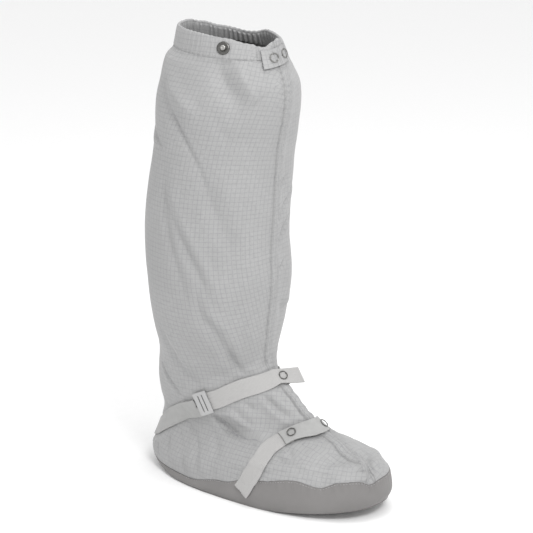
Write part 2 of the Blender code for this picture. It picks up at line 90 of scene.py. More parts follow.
# Height of the rand's seam: share of the sole's length from the heel, height in mm
SEAM_HEIGHTS = np.array(
    ((0, 12), (0.15, 8.5), (0.30, 8), (0.45, 17), (0.60, 29), (0.76, 37), (0.84, 33), (0.90, 40))
    + ((0.95, 41), (1, 40))
) * (1, MM)

# Height of the rim off its own plane: degrees round the boot, height in mm
RIM_WAVES = np.array(
    ((0, 0), (20, -4), (45, -4), (70, -3.5), (105, -9.5), (135, -6.5), (160, -2.5), (180, 0))
    + ((270, 0.5), (300, -1), (322, -5), (338, -8), (350, -3), (360, 0))
) * (1, MM)

CASING_STEP, CASING_WALL = 0.0012, 0.0030
SEAM_HALF_WIDTH, SEAM_RISE = 0.0045, 0.0012
RAND_WALL, PLATE_INSET, PLATE_THICKNESS = 0.0016, 0.006, 0.0022
STRAP_THICKNESS, STRAP_CLEARANCE = 0.0013, 0.0007
JOINT_GAP = 0.0003

# A fold's ridges: how far from its middle and how wide, as shares of its width
RIDGE_AT, RIDGE_WIDTH = 1.8, 1.2
# Reach of the raised seam into a strap that crosses it, and offset of the seam's stitches
SEAM_APRON, SEAM_STITCHES = 0.005, 0.0034
STITCH_LENGTH, STITCH_WIDTH, STITCH_HEIGHT = 0.0021, 0.00045, 0.00035
# Shares of the casing's cloth that lie outside and turn over the rim, and of the rand's cloth
# that lie under the boot
CASING_OUTSIDE, CASING_OVER, RAND_UNDER = 0.42, 0.16, 0.22
# How far the elastic swells the casing and pleats its outside and its rim
CASING_SWELL, OUTSIDE_PLEATS, RIM_PLEATS = 0.0004, 0.0002, 0.00025
# Notch in the casing at the end of its tab: degrees round the boot, width in degrees, depth
TAB_NOTCH, TAB_NOTCH_WIDTH, TAB_NOTCH_DEPTH = 330.5, 1.8, 0.0014
# The lip where rand and bottom panel are sewn together: how far it stands out, how high it
# fades out as a share of the rand, and the height at which the wall has its full thickness
LIP_REACH, LIP_SHARE, FULL_WALL_HEIGHT = 0.0007, 0.03, 0.0012
RING_RADIUS, RING_WIDTH, RING_HEIGHT = 0.0043, 0.00048, 0.00045
PRONG_RADIUS, PRONGS_AT = 0.00042, 0.0036
# Half sections of the stud's flange and post: radius and height in mm
STUD_FLANGE = ((0, 0.1), (6.2, 0.1), (6.4, 0.5), (6.1, 1), (5.4, 1.4), (4.4, 1.4), (3.4, 1.1))
STUD_FLANGE += ((2.6, 1), (0, 1))
STUD_POST = ((2.4, 0.9), (2.1, 1.6), (2.1, 2.4), (2.5, 3), (2.4, 3.6), (1.8, 3.9), (0.9, 3.6))
STUD_POST += ((0, 3.4),)
SLIDER_LENGTH, SLIDER_WIDTH, SLIDER_THICKNESS = 0.0150, 0.0245, 0.0018
SLIDER_FRAME, SLIDER_BAR, SLIDER_SLOT, SLIDER_EDGE = 0.0034, 0.0034, 0.0010, 0.00055
# The camera of the photo, worked out from how the boot lies in it: degrees and metres
CAMERA_AZIMUTH, CAMERA_DOWN, CAMERA_ANGLE = 38, 15.6, 16.5
CAMERA_DISTANCE, CAMERA_HEIGHT, CAMERA_SHIFT = 1.76, 0.72, 0.004
WORLD_LIGHT = 0.93
# How strongly the carbon threads darken the cloth
CARBON_STRENGTH = 0.55

# Centre lines of the straps: degrees round the boot, place up it, rise off its form in mm
HEEL_TAPE_WAY = (
    (281, 7.30, 0), (265, 6.85, 0), (249, 6.40, 0), (232, 5.70, 0), (218, 4.95, 0),
    (205, 4.25, 0), (192, 3.90, 0), (180, 3.80, 0), (168, 3.90, 0), (155, 4.25, 0),
    (142, 4.95, 0), (128, 5.70, 0.3), (111, 6.40, 0.5), (95, 6.85, 0.3), (79, 7.30, 0),
    (63, 7.70, 0), (41, 8.35, 0), (14, 8.75, 0),
)
ANKLE_ELASTIC_WAY = (
    (283, 7.35, 0), (297, 7.70, 0), (308, 8.10, 0), (319, 8.45, 0), (333, 8.70, 0),
    (345, 8.85, 0.6), (352, 8.90, 1.6),
)
INSTEP_STRAP_WAY = (
    (270.5, 1.30, 0), (272.5, 1.75, 0), (275, 2.30, 0), (278.5, 2.95, 0.4), (283, 3.50, 0.7),
    (293, 4.40, 0.3), (308, 5.20, 0), (320, 5.70, 0),
)
INSTEP_TAB_WAY = (
    (311, 5.30, 2.0), (322, 5.75, 2.0), (334, 6.08, 2.0), (350, 6.32, 2.2), (366, 6.38, 2.1),
    (380, 6.15, 1.2), (395, 5.80, 0), (410, 5.25, 0), (426, 4.40, 0.2), (437, 3.50, 0.3),
    (441.5, 2.95, 0), (445, 2.30, 0), (447.5, 1.75, 0), (449.5, 1.30, 0),
)
COLLAR_TAB_WAY = (
    (333, 19.03, 1.1), (342, 19.10, 1.1), (351, 19.17, 1.3), (360, 19.24, 1.4),
    (369, 19.31, 1.3), (379, 19.35, 1.1),
)
STRAP_WIDTH, TAB_WIDTH, COLLAR_TAB_WIDTH = 0.019, 0.020, 0.018
TAIL_LENGTH, TAIL_LEAN = 0.028, 24
STUD_DEGREES, STUD_PLACE = 297.5, 19.50

# Folds of the cloth: depth and width in mm, how much of the depth stands up as a ridge on the
# toe side and on the heel side of the trough, and the way it runs (place, degrees). A negative
# depth is a ridge.
FOLDS = (
    # near side of the shaft, top to bottom
    (2.2, 9, 0.5, 0.1, ((17.2, 240), (16.4, 247), (15.75, 262), (15.4, 272), (14.8, 288))),
    (1.2, 2.6, 0.4, 0, ((16, 252), (15.75, 262), (15.4, 272), (14.8, 288), (14.3, 297))),
    (-1.8, 8, 0, 0, ((18.3, 236), (17.45, 240), (16.65, 258), (16.15, 275), (15.95, 285))),
    (4.2, 13, 0, 0, ((19, 291), (17.9, 298), (17.1, 307), (16.65, 320))),
    (-4.8, 11, 0, 0, ((19, 309), (17.9, 314), (17.3, 319), (16.6, 328))),
    (2, 6, 0.5, 0, ((14.9, 254), (14.2, 259), (13.8, 262), (13, 269), (12.1, 279), (11.2, 287))),
    (2.2, 5, 0.6, 0, ((14.3, 258), (13.55, 272), (12.9, 284), (12.3, 295), (11.4, 308))),
    (2, 9, 0.3, 0, ((14.9, 290), (14.3, 297), (13.65, 309), (12.95, 319), (11.8, 326))),
    (2.4, 5.5, 0.6, 0.2, ((12.1, 291), (11.4, 296), (10.95, 307), (10.25, 318), (9.5, 326))),
    (1.8, 6, 0.5, 0, ((10.9, 250), (10.5, 254), (9.9, 264), (8.9, 278), (8.25, 288))),
    (1.6, 2.8, 0.5, 0.3, ((9.3, 236), (9, 241), (8.2, 252), (7.4, 260))),
    (1.4, 3.2, 0.5, 0.3, ((10.5, 317), (9.75, 323), (9.05, 327))),
    (0.9, 2.6, 0.5, 0.3, ((10, 350), (9.4, 357), (9.1, 360))),
    (0.9, 7, 0.2, 0.2, ((13.3, 300), (12.7, 305), (12.2, 309))),
    (0.9, 7, 0.2, 0.2, ((16.3, 290), (15.6, 305), (15.2, 318))),
    (0.8, 6, 0.3, 0, ((15.6, 318), (15.2, 328), (14.9, 338))),
    (1, 4, 0.2, 0.2, ((6.9, 226), (6.2, 224), (5.5, 221))),
    # pleat under the collar tab, and the notch at the back
    (2.4, 2.6, 0.3, 0.6, ((19.5, 331), (19.2, 336), (18.9, 339), (18.5, 340.5))),
    (1.7, 3.4, 0.1, 0.5, ((15.5, 212), (15.25, 228), (15.15, 237), (15, 252))),
    (1.2, 5, 0.3, 0.4, ((15.3, 150), (15.3, 180), (15.3, 214))),
    # foot, near side
    (3.6, 7.5, 0.9, 0, ((7.2, 276), (6.6, 280), (6, 284), (5.3, 286), (4.5, 291))),
    (1.2, 2.6, 0.7, 0, ((7, 277), (6.5, 281), (6, 284), (5.2, 287))),
    (1.6, 3, 0.3, 0.6, ((8, 308), (7.7, 311), (7.2, 314))),
    (1.8, 3.2, 0.3, 0.7, ((8.4, 325), (7.8, 327), (7.3, 329), (6.8, 334))),
    (1.4, 3.5, 0.5, 0.2, ((4.4, 291), (4, 295), (3.6, 299), (3.1, 304))),
    (1, 3, 0.4, 0.2, ((4.9, 308), (4.4, 306), (3.9, 304))),
    (0.9, 7, 0.2, 0.2, ((4.4, 331), (3.7, 329), (2.9, 327))),
    (1.3, 4, 0.3, 0.3, ((4.1, 207), (3.3, 214), (2.4, 222))),
    (1.3, 4, 0.3, 0.3, ((4.8, 221), (3.4, 228), (1.9, 234))),
    (1.2, 4, 0.3, 0.3, ((5.4, 233), (3.6, 239), (2, 244))),
    (1.3, 4.5, 0.3, 0.3, ((6, 247), (3.8, 250), (2.1, 252))),
    (1.4, 5.5, 0.3, 0.3, ((6.4, 262), (4.2, 261), (2.1, 258))),
    (0.9, 2.4, 0.4, 0.4, ((5.4, 227), (4.9, 228), (4.3, 232))),
    (0.9, 2.4, 0.4, 0.4, ((6.1, 247), (5.55, 246), (4.8, 245))),
    (3, 4.5, 0.2, 0.8, ((4.2, 356), (3.3, 350), (2.6, 348), (2.1, 347))),
    (-1.4, 3.6, 0, 0, ((4.6, 353), (3.5, 344), (2.8, 342), (2.2, 342))),
    (1.2, 3.2, 0.2, 0.5, ((7.4, 300), (6.8, 303), (6.2, 306))),
    # far front of the shaft and across the front seam
    (1.6, 3.2, 0.4, 0.4, ((14.2, 3), (14.3, 12), (14.4, 22))),
    (2.2, 3.6, 0.4, 0.4, ((13.4, 4), (13.7, 18), (14.2, 36))),
    (2.2, 3, 0.4, 0.4, ((12.8, 4), (13.1, 16), (13.6, 34))),
    (1.5, 2.6, 0.4, 0.4, ((12.2, 4), (12.3, 12), (12.5, 22))),
    (2.6, 12, 0, 0, ((17.4, 15), (15, 14), (13, 15), (11.5, 16), (10, 18))),
    (-2.4, 16, 0, 0, ((12.9, 24), (12, 22), (11.2, 26))),
    (1.2, 5, 0.4, 0.2, ((11.5, 8), (11.2, 22), (11.1, 40))),
    # far side
    (3, 7, 0.5, 0.2, ((17.2, 118), (16.2, 104), (15.2, 88), (14.6, 70))),
    (2.6, 5, 0.6, 0.2, ((15, 110), (14, 98), (13, 84), (12, 66))),
    (2.4, 6, 0.5, 0.2, ((13.4, 118), (12.4, 104), (11.4, 88), (10.4, 66))),
    (2.4, 5, 0.5, 0.2, ((11.2, 110), (10.2, 96), (9.4, 80), (8.9, 62))),
    (1.4, 4, 0.5, 0.2, ((10.6, 60), (9.9, 50), (9.3, 40))),
    (2.4, 6, 0.8, 0, ((6.6, 80), (6, 76), (5.2, 73), (4.4, 70))),
    (1.6, 3.4, 0.4, 0.4, ((7.9, 52), (7.4, 48), (6.8, 40))),
    (1.2, 4, 0.4, 0.2, ((4.6, 62), (3.9, 58), (3.2, 54))),
    (1.6, 6, 0.4, 0.2, ((18.2, 64), (17.2, 54), (16.4, 40))),
    (1.8, 5, 0.4, 0.4, ((13.2, 205), (12.6, 190), (12.2, 172), (12, 150))),
    (1.4, 4, 0.4, 0.4, ((10.4, 205), (10.1, 188), (10, 168))),
    (1.4, 4, 0.4, 0.4, ((9.2, 200), (9, 184), (9, 160))),
    # coated rand round the toe and along the sides
    (1, 5, 0.4, 0.2, ((1.9, 346), (1.4, 350), (0.8, 356))),
    (0.8, 4, 0.3, 0.3, ((1.95, 340), (1.5, 336), (1, 330))),
    (0.7, 6, 0.3, 0.3, ((1.8, 318), (1.2, 314), (0.7, 310))),
    (0.7, 6, 0.3, 0.3, ((1.8, 62), (1.2, 58), (0.7, 52))),
)

# Shade lines painted onto the felled seam, darkening the cloth's colour: distance from its middle
# and half width in mm, strength. The outer ones are the painted shade beside its folded edges, the
# inner ones the painted shade along its two rows of stitches.
SEAM_SHADES = (
    (5.1, 1.0, 0.44), (-5.1, 0.9, 0.26), (3.4, 0.6, 0.26), (-3.4, 0.6, 0.26), (0.4, 0.9, 0.15),
)


class BootSizes(bpy.types.PropertyGroup):
    """Sizes of the boot's dressing that a maker would change."""

    fold_share: bpy.props.FloatProperty(
        name="Fold depth",
        description="Depth of the cloth's folds, as a share of the depths in the table",
        default=1.5,
        min=0.0,
        max=2.0,
        subtype="FACTOR",
    )
    gather_depth: bpy.props.FloatProperty(
        name="Gather depth",
        description="Depth of the gathers that the elastic makes in the collar casing",
        default=0.0008,
        unit="LENGTH",
    )
    grid_pitch: bpy.props.FloatProperty(
        name="Grid pitch",
        description="Spacing of the carbon threads in the cloth",
        default=0.0046,
        unit="LENGTH",
    )
    stitch_pitch: bpy.props.FloatProperty(
        name="Stitch pitch",
        description="Length of one stitch with its gap",
        default=0.0030,
        unit="LENGTH",
    )
    columns: bpy.props.IntProperty(
        name="Cloth columns",
        description="Faces round the cloth of the upper",
        default=300,
    )
    rows: bpy.props.IntProperty(
        name="Cloth rows",
        description="Faces up the cloth of the upper",
        default=310,
    )


def hex_colour(text):
    """Linear colour of an sRGB hex value."""
    parts = [int(text[n : n + 2], 16) / 255 for n in (1, 3, 5)]
    return tuple(p / 12.92 if p <= 0.04045 else ((p + 0.055) / 1.055) ** 2.4 for p in parts)


def colour_property(name, description, text):
    return bpy.props.FloatVectorProperty(
        name=name,
        description=description,
        default=hex_colour(text),
        size=3,
        min=0.0,
        max=1.0,
        subtype="COLOR",
    )


class BootColours(bpy.types.PropertyGroup):
    """Colours of the boot's materials."""

    cloth: colour_property("Cloth", "Polyester cloth of the upper", "#A2A2A2")
    carbon: colour_property("Carbon thread", "Grid threads in the cloth", "#7C7C80")
    coated: colour_property("Coated cloth", "Rand and bottom panel", "#7D7B7A")
    tape: colour_property("Tape", "Cloth tape and tabs", "#A2A2A1")
    elastic: colour_property("Elastic", "Ribbed elastic straps", "#AFAEAD")
    plastic: colour_property("Plastic", "Slide buckle", "#ACACAC")
    metal: colour_property("Snap metal", "Ring snaps and stud", "#B4B3B0")
    thread: colour_property("Thread", "Sewing thread", "#B0B0B0")
    floor: colour_property("Floor", "Studio floor", "#FAFAFA")


# Form


def ease(value):
    value = np.clip(value, 0.0, 1.0)
    return value * value * (3 - 2 * value)


def blend_rows(table, place):
    """Smooth values between the rows of a table at fractional row numbers."""
    first = np.clip(np.floor(place), 0, len(table) - 2).astype(int)
    part = (place - first)[..., None]
    a = table[np.maximum(first - 1, 0)]
    b, c = table[first], table[first + 1]
    d = table[np.minimum(first + 2, len(table) - 1)]
    curve = (2 * a - 5 * b + 4 * c - d) * part**2 + (3 * b - a - 3 * c + d) * part**3
    return 0.5 * (2 * b + (c - a) * part + curve)


def eased_rows(table, value):
    """The second column at values of the first, eased between the rows."""
    k = np.clip(np.searchsorted(table[:, 0], value) - 1, 0, len(table) - 2)
    share = ease((value - table[k, 0]) / (table[k + 1, 0] - table[k, 0]))
    return table[k, 1] + (table[k + 1, 1] - table[k, 1]) * share


def spring(x):
    """Height of the sole's underside over the floor."""
    share = x / SOLE_LENGTH + 0.5
    toe = np.clip((share - 0.60) / 0.40, 0, 1)
    heel = np.clip((0.25 - share) / 0.25, 0, 1)
    return 0.013 * toe**1.3 + 0.009 * heel**2


def notch(x, y):
    """1 in the middle of the pucker at the toe, fading to 0 round it."""
    return np.exp(-(((y + 0.014) / 0.0075) ** 2)) * ease((x / SOLE_LENGTH - 0.36) / 0.08)


def seam_height(x, y):
    """Height of the seam between rand and upper, which dips at the pucker."""
    share = np.clip(x / SOLE_LENGTH + 0.5, 0, 1)
    return eased_rows(SEAM_HEIGHTS, share) - 0.005 * notch(x, y)


def form(place, turn):
    """Points of the boot's smooth form: place 0 is the floor edge, 20 the rim."""
    place, turn = np.broadcast_arrays(np.asarray(place, float), np.asarray(turn, float))
    row = np.moveaxis(blend_rows(SECTIONS, place), -1, 0)
    front, front_z, back, back_z, half, widest, nose, heel = row
    cosine, sine = np.cos(turn), np.sin(turn)
    power = 2 / np.where(cosine >= 0, nose, heel)
    reach = np.abs(cosine) ** power
    along = np.where(cosine >= 0, widest + (1 - widest) * reach, widest * (1 - reach))
    x = back + (front - back) * along
    y = np.sign(sine) * half * np.abs(sine) ** power
    z = back_z + (front_z - back_z) * along
    seam, floor = seam_height(x, y), spring(x)
    third_z = SECTIONS[3, 3] + (SECTIONS[3, 1] - SECTIONS[3, 3]) * along
    belly = 0.35 * (seam + 0.014 - third_z)
    low = floor + (seam - floor) * (np.clip(place, 0, RAND_PLACE) / RAND_PLACE) ** 1.4
    lap = seam + (place - RAND_PLACE) * (third_z + belly - seam)
    high = z + belly * (1 - ease((place - 3) / (PLAIN_PLACE - 3)))
    z = np.where(place <= RAND_PLACE, low, np.where(place < 3, lap, high))
    rim = eased_rows(RIM_WAVES, np.degrees(turn) % 360)
    z = z + rim * np.clip(place - CASING_PLACE, 0, 2)
    pucker = 0.0025 * notch(x, y) * np.clip(1 - np.abs(place - RAND_PLACE) / 1.5, 0, 1)
    return np.stack([x - pucker, y, z], -1)


def unit(vectors):
    return vectors / (np.linalg.norm(vectors, axis=-1, keepdims=True) + 1e-12)


def outward(place, turn):
    """Normals of the boot's form."""
    step = 0.03
    up = form(np.minimum(place + step, RIM_PLACE), turn) - form(np.maximum(place - step, 0), turn)
    around = form(place, turn + step) - form(place, turn - step)
    return unit(np.cross(around, up))


def off_form(place, turn, lift=0.0):
    """Points that stand off the smooth form by lift."""
    return form(place, turn) + outward(place, turn) * np.asarray(lift)[..., None]


def seam_line(x):
    """Where the felled seam runs: on the centre plane, drawn to the near side at the toe."""
    return -0.014 * ease((x / SOLE_LENGTH - 0.20) / 0.24)


def off_seam(spots):
    """Signed distance from the felled seams at the centre front and back."""
    return spots[..., 1] - seam_line(spots[..., 0])


def seam_band(gap, half_width=SEAM_HALF_WIDTH, shoulder=0.0012):
    """1 on a felled seam, 0 beside it."""
    return ease((half_width + shoulder - np.abs(gap)) / shoulder)


# Straps


def run_along(line):
    """How far along a line each of its points is."""
    return np.append(0, np.cumsum(np.linalg.norm(np.diff(line, axis=0), axis=1)))


def walk(place, turn, heading):
    """The place and turn reached by a small move over the form."""
    step = 0.03
    up = (form(place + step, turn) - form(place - step, turn)) / (2 * step)
    around = (form(place, turn + step) - form(place, turn - step)) / (2 * step)
    uu, aa, ua = up @ up, around @ around, up @ around
    hu, ha = heading @ up, heading @ around
    det = uu * aa - ua * ua
    place = min(max(place + (hu * aa - ha * ua) / det, 0.0), RIM_PLACE)
    return place, turn + (ha * uu - hu * ua) / det


def bridged(points, normal):
    """A cross section lifted onto the straight lines over its hollows, as taut cloth lies."""
    result = points.copy()
    for i in range(len(points)):
        for j in range(i + 2, len(points)):
            span = points[j] - points[i]
            for m in range(i + 1, j):
                line = points[i] + span * ((points[m] - points[i]) @ span / (span @ span))
                result[m] += normal * max((line - result[m]) @ normal, 0.0)
    return result


def strap_grid(way, width, spacing=0.0030, side_columns=4):
    """Inner and outer points of a strap, rows along it and columns across it."""
    table = np.array(way, float) * (math.radians(1), 1, MM)
    fine = blend_rows(table, np.linspace(0, len(way) - 1, 16 * (len(way) - 1) + 1))
    spots = form(fine[:, 1], fine[:, 0])
    lengths = run_along(spots)
    count = max(round(lengths[-1] / spacing), 3)
    inner_rows, outer_rows = [], []
    for target in np.linspace(0, lengths[-1], count + 1):
        turn, place, rise = (np.interp(target, lengths, fine[:, n]) for n in range(3))
        k = min(int(np.searchsorted(lengths, target, "right")) - 1, len(spots) - 2)
        along = unit(spots[k + 1] - spots[k])
        normal = outward(place, turn)
        across = unit(np.cross(normal, along))
        sites = {0: (place, turn)}
        for sense in (1, -1):
            site = (place, turn)
            for m in range(1, side_columns + 1):
                site = walk(*site, across * sense * width / 2 / side_columns)
                sites[sense * m] = site
        places, turns = np.array([sites[m] for m in sorted(sites)]).T
        gap = np.abs(off_seam(form(places, turns)))
        apron = SEAM_RISE * ease((SEAM_HALF_WIDTH + SEAM_APRON - gap) / SEAM_APRON)
        inner = bridged(off_form(places, turns, STRAP_CLEARANCE + rise + apron), normal)
        outer = inner + unit(np.cross(along, np.gradient(inner, axis=0))) * STRAP_THICKNESS
        inner_rows.append(inner)
        outer_rows.append(outer)
    return np.array(inner_rows), np.array(outer_rows)


def with_tail(inner, outer):
    """The ankle elastic carried on past the boot, leaning off its upper edge."""
    middle = inner.shape[1] // 2
    ahead = inner[-1, middle] - inner[-2, middle]
    ahead[2] = 0
    ahead = unit(ahead)
    top = inner[-1][np.argmax(inner[-1][:, 2])]
    steps = 9
    for n in range(1, steps + 1):
        lean = Quaternion(Vector(ahead), math.radians(TAIL_LEAN) * ease(n / steps)).to_matrix()
        move = top + ahead * TAIL_LENGTH * n / steps
        turned = [(stack[-n] - top) @ np.array(lean).T + move for stack in (inner, outer)]
        inner = np.append(inner, turned[:1], axis=0)
        outer = np.append(outer, turned[1:], axis=0)
    return inner, outer


HEEL_TAPE = strap_grid(HEEL_TAPE_WAY, STRAP_WIDTH)
ANKLE_ON_BOOT = strap_grid(ANKLE_ELASTIC_WAY, STRAP_WIDTH)
INSTEP_STRAP = strap_grid(INSTEP_STRAP_WAY, STRAP_WIDTH)
INSTEP_TAB = strap_grid(INSTEP_TAB_WAY, TAB_WIDTH)
COLLAR_TAB = strap_grid(COLLAR_TAB_WAY, COLLAR_TAB_WIDTH)

ON_BOOT = (HEEL_TAPE, ANKLE_ON_BOOT, INSTEP_STRAP, INSTEP_TAB, COLLAR_TAB)
STRAP_SPOTS = np.concatenate([grid[0].reshape(-1, 3) for grid in ON_BOOT])
STRAP_TREE = kdtree.KDTree(len(STRAP_SPOTS))
for number, spot in enumerate(STRAP_SPOTS):
    STRAP_TREE.insert(spot, number)
STRAP_TREE.balance()


# Relief of the cloth


def strap_distance(spots):
    """How far each point is from the nearest strap."""
    return np.array([STRAP_TREE.find(s)[2] for s in spots])


def fold_relief(spots, normals):
    """Height of the folds in the table at points of the form."""
    height = np.zeros(len(spots))
    for depth, width, toe_side, heel_side, way in FOLDS:
        table = np.array(way, float)
        fine = blend_rows(table, np.linspace(0, len(table) - 1, 6 * (len(table) - 1) + 1))
        line = form(fine[:, 0], np.radians(fine[:, 1]))
        width *= MM
        low, high = line.min(0) - 4 * width, line.max(0) + 4 * width
        near = np.flatnonzero(np.all((spots > low) & (spots < high), axis=1))
        if not len(near):
            continue
        close = np.full(len(near), 1e9)
        signed = np.zeros(len(near))
        share = np.zeros(len(near))
        for n, (start, end) in enumerate(zip(line, line[1:])):
            span = end - start
            off = spots[near] - start
            part = np.clip(off @ span / (span @ span), 0, 1)
            gap = off - part[:, None] * span
            distance = np.linalg.norm(gap, axis=1)
            nearer = distance < close
            side = np.einsum("ij,ij->i", gap, np.cross(normals[near], span))
            close = np.where(nearer, distance, close)
            signed = np.where(nearer, distance * np.sign(side), signed)
            share = np.where(nearer, (n + part) / (len(line) - 1), share)
        s = signed / width
        shape = -np.exp(-np.abs(s) ** 1.6)
        shape += toe_side * np.exp(-(((s - RIDGE_AT) / RIDGE_WIDTH) ** 2))
        shape += heel_side * np.exp(-(((s + RIDGE_AT) / RIDGE_WIDTH) ** 2))
        taper = np.sin(math.pi * np.clip(share, 0.0, 1.0)) ** 0.7
        height[near] += depth * MM * shape * taper
    return height


def gathers(turn):
    """Uneven pleats round the collar, -1 to 1."""
    broad = np.sin(58 * turn + 2.2 * np.sin(3 * turn))
    narrow = np.sin(71 * turn + 1.7 * np.sin(5 * turn))
    return (broad + 0.6 * narrow) / 1.6


def soft_noise(spots, sizes, seed):
    """Smooth noise whose cells have these sizes along x, y and z."""
    scaled = spots / np.array(sizes) + seed
    return np.array([noise.noise(s) for s in scaled.tolist()])


def relief(place, turn, spots, normals):
    """How far the cloth stands off the form between its seams and straps."""
    sizes = bpy.context.scene.boot_sizes
    height = fold_relief(spots, normals) * sizes.fold_share
    # unevenness of the whole cloth, tall and narrow like the drape of a shaft
    height += 0.0015 * soft_noise(spots, (0.034, 0.034, 0.085), 3.1)
    height += 0.0005 * soft_noise(spots, (0.012, 0.012, 0.024), 8.7)
    # puckers below the casing, over the heel, above the rand and beside the seams
    puff = np.exp(-np.clip(CASING_PLACE - place, 0, 9) / 0.35) * (place < CASING_PLACE)
    height += 0.0005 * gathers(turn) * puff
    side_ripple = np.sin(46 * turn + 1.5 * np.sin(5 * turn + 0.8 * place))
    heel = ease((place - 2.2) / 0.8) * ease((5.6 - place) / 1.4)
    heel = heel * ease((-np.cos(turn) - 0.05) / 0.3)
    height += 0.0005 * side_ripple * heel
    above_rand = np.exp(-np.clip(place - RAND_PLACE, 0, 9) / 0.35) * (place > RAND_PLACE)
    height += 0.00025 * np.sin(95 * turn + 2 * np.sin(7 * turn)) * above_rand
    gap = np.abs(off_seam(spots))
    seam_side = np.exp(-np.clip(gap - SEAM_HALF_WIDTH, 0, 1) / 0.007)
    tick = np.sin(spots[:, 2] * 2 * math.pi / 0.0075 + 2 * np.sin(spots[:, 2] * 90))
    height += 0.0003 * tick * seam_side * (place > 3)
    height -= 0.0004 * np.exp(-(((gap - SEAM_HALF_WIDTH - 0.0018) / 0.0012) ** 2))
    # the cloth lies flat under a strap and bulges out beside it
    distance = strap_distance(spots)
    height *= ease((distance - 0.0005) / 0.009)
    bulge = np.exp(-(((distance - 0.006) / 0.004) ** 2)) * (place > 3) * (place < 12)
    height += 0.0009 * bulge
    height *= ease((place - RAND_PLACE) / 0.25) * ease((CASING_PLACE - 0.02 - place) / 0.12)
    return height


def cloth(place, turn, lift=0.0):
    """Points of the upper's cloth, folds and raised seams included."""
    spots, normals = form(place, turn), outward(place, turn)
    height = relief(place, turn, spots, normals)
    band = seam_band(off_seam(spots)) * SEAM_RISE * ease((place - 2.1) / 0.1)
    tuck = 0.0012 * ease((RAND_PLACE + 0.04 - place) / 0.08)
    swell = (CASING_STEP - 0.0004) * np.exp((place - CASING_PLACE) / 0.45)
    return spots + normals * (height + band + swell - tuck + lift)[:, None], normals


# Mesh tools


def between(grid, i, j):
    """Points of a grid at fractional row and column numbers."""
    i0 = np.clip(np.floor(i + 1e-9), 0, grid.shape[0] - 2).astype(int)
    j0 = np.clip(np.floor(j + 1e-9), 0, grid.shape[1] - 2).astype(int)
    part_i, part_j = (i - i0)[:, None], (j - j0)[:, None]
    low = grid[i0, j0] * (1 - part_j) + grid[i0, j0 + 1] * part_j
    high = grid[i0 + 1, j0] * (1 - part_j) + grid[i0 + 1, j0 + 1] * part_j
    return low * (1 - part_i) + high * part_i, i0, j0


def finish(name, mesh, material, nodes=()):
    """Makes the object of a mesh, which rides on the boot and stands for its solids."""
    obj = bpy.data.objects.new(name, mesh)
    bpy.context.scene.collection.objects.link(obj)
    mesh.materials.clear()
    mesh.materials.append(material)
    for polygon in mesh.polygons:
        polygon.use_smooth = True
    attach(obj, "root")
    if nodes:
        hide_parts(*nodes)
    return obj


def from_bmesh(name, piece):
    mesh = bpy.data.meshes.new(name)
    piece.to_mesh(mesh)
    piece.free()
    return mesh


def laid_grid(name, columns, rows, lay, closed=False, flip=False):
    """A grid whose points lay(a, b) puts in place, and whose weave coordinates it gives."""
    piece = bmesh.new()
    bmesh.ops.create_grid(piece, x_segments=columns, y_segments=rows, size=1.0)
    mesh = from_bmesh(name, piece)
    flat = np.empty(len(mesh.vertices) * 3)
    mesh.vertices.foreach_get("co", flat)
    a, b = (flat.reshape(-1, 3)[:, :2].T + 1) / 2
    spots, weave = lay(a, b)
    mesh.vertices.foreach_set("co", spots.ravel())
    corner = np.empty(len(mesh.loops), int)
    mesh.loops.foreach_get("vertex_index", corner)
    gap = mesh.attributes.new("Seam", "FLOAT", "POINT")
    gap.data.foreach_set("value", off_seam(spots))
    layer = mesh.uv_layers.new(name="Weave")
    layer.uv.foreach_set("vector", weave[corner].ravel())
    piece = bmesh.new()
    piece.from_mesh(mesh)
    if closed:
        edge = [v for v in piece.verts if v.is_boundary]
        bmesh.ops.remove_doubles(piece, verts=edge, dist=1e-6)
    if flip:
        bmesh.ops.reverse_faces(piece, faces=piece.faces)
    piece.to_mesh(mesh)
    piece.free()
    return mesh


def add_modifier(obj, kind, **settings):
    modifier = obj.modifiers.new(kind.title(), kind)
    for key, value in settings.items():
        setattr(modifier, key, value)
    return modifier


def basis(centre, along, across, normal):
    """Matrix that puts a shape's x, y and z along these directions at the centre."""
    matrix = Matrix.Identity(4)
    for column, vector in enumerate((along, across, normal, centre)):
        for row in range(3):
            matrix[row][column] = vector[row]
    return matrix


def point_at(run, lengths, line):
    """The point of a line at this run along it."""
    return np.array([np.interp(run, lengths, line[:, n]) for n in range(3)])


def stitches(name, lines, length=STITCH_LENGTH, height=STITCH_HEIGHT):
    """Thread dashes along lines of (points, normals)."""
    piece = bmesh.new()
    pitch = bpy.context.scene.boot_sizes.stitch_pitch
    for spots, normals in lines:
        lengths = run_along(spots)
        for target in np.arange(pitch / 2, lengths[-1], pitch):
            centre = point_at(target, lengths, spots)
            normal = point_at(target, lengths, normals)
            before = point_at(target - length / 2, lengths, spots)
            after = point_at(target + length / 2, lengths, spots)
            along = unit(after - before)
            across = unit(np.cross(normal, along))
            up = np.cross(along, across)
            made = bmesh.ops.create_icosphere(piece, subdivisions=1, radius=0.5)
            place = basis(centre, along * length, across * STITCH_WIDTH, up * height)
            bmesh.ops.transform(piece, matrix=place, verts=made["verts"])
    finish(name, from_bmesh(name, piece), material_of("thread"))


def spun(piece, profile):
    """Spins a (radius, height) profile round z; a closed profile makes a ring."""
    verts = [piece.verts.new((radius, 0, height)) for radius, height in profile]
    edges = [piece.edges.new(pair) for pair in zip(verts, verts[1:])]
    bmesh.ops.spin(
        piece,
        geom=verts + edges,
        cent=(0, 0, 0),
        axis=(0, 0, 1),
        angle=2 * math.pi,
        steps=48,
        use_merge=True,
    )
    bmesh.ops.remove_doubles(piece, verts=piece.verts, dist=1e-6)
    bmesh.ops.recalc_face_normals(piece, faces=piece.faces)


# Materials

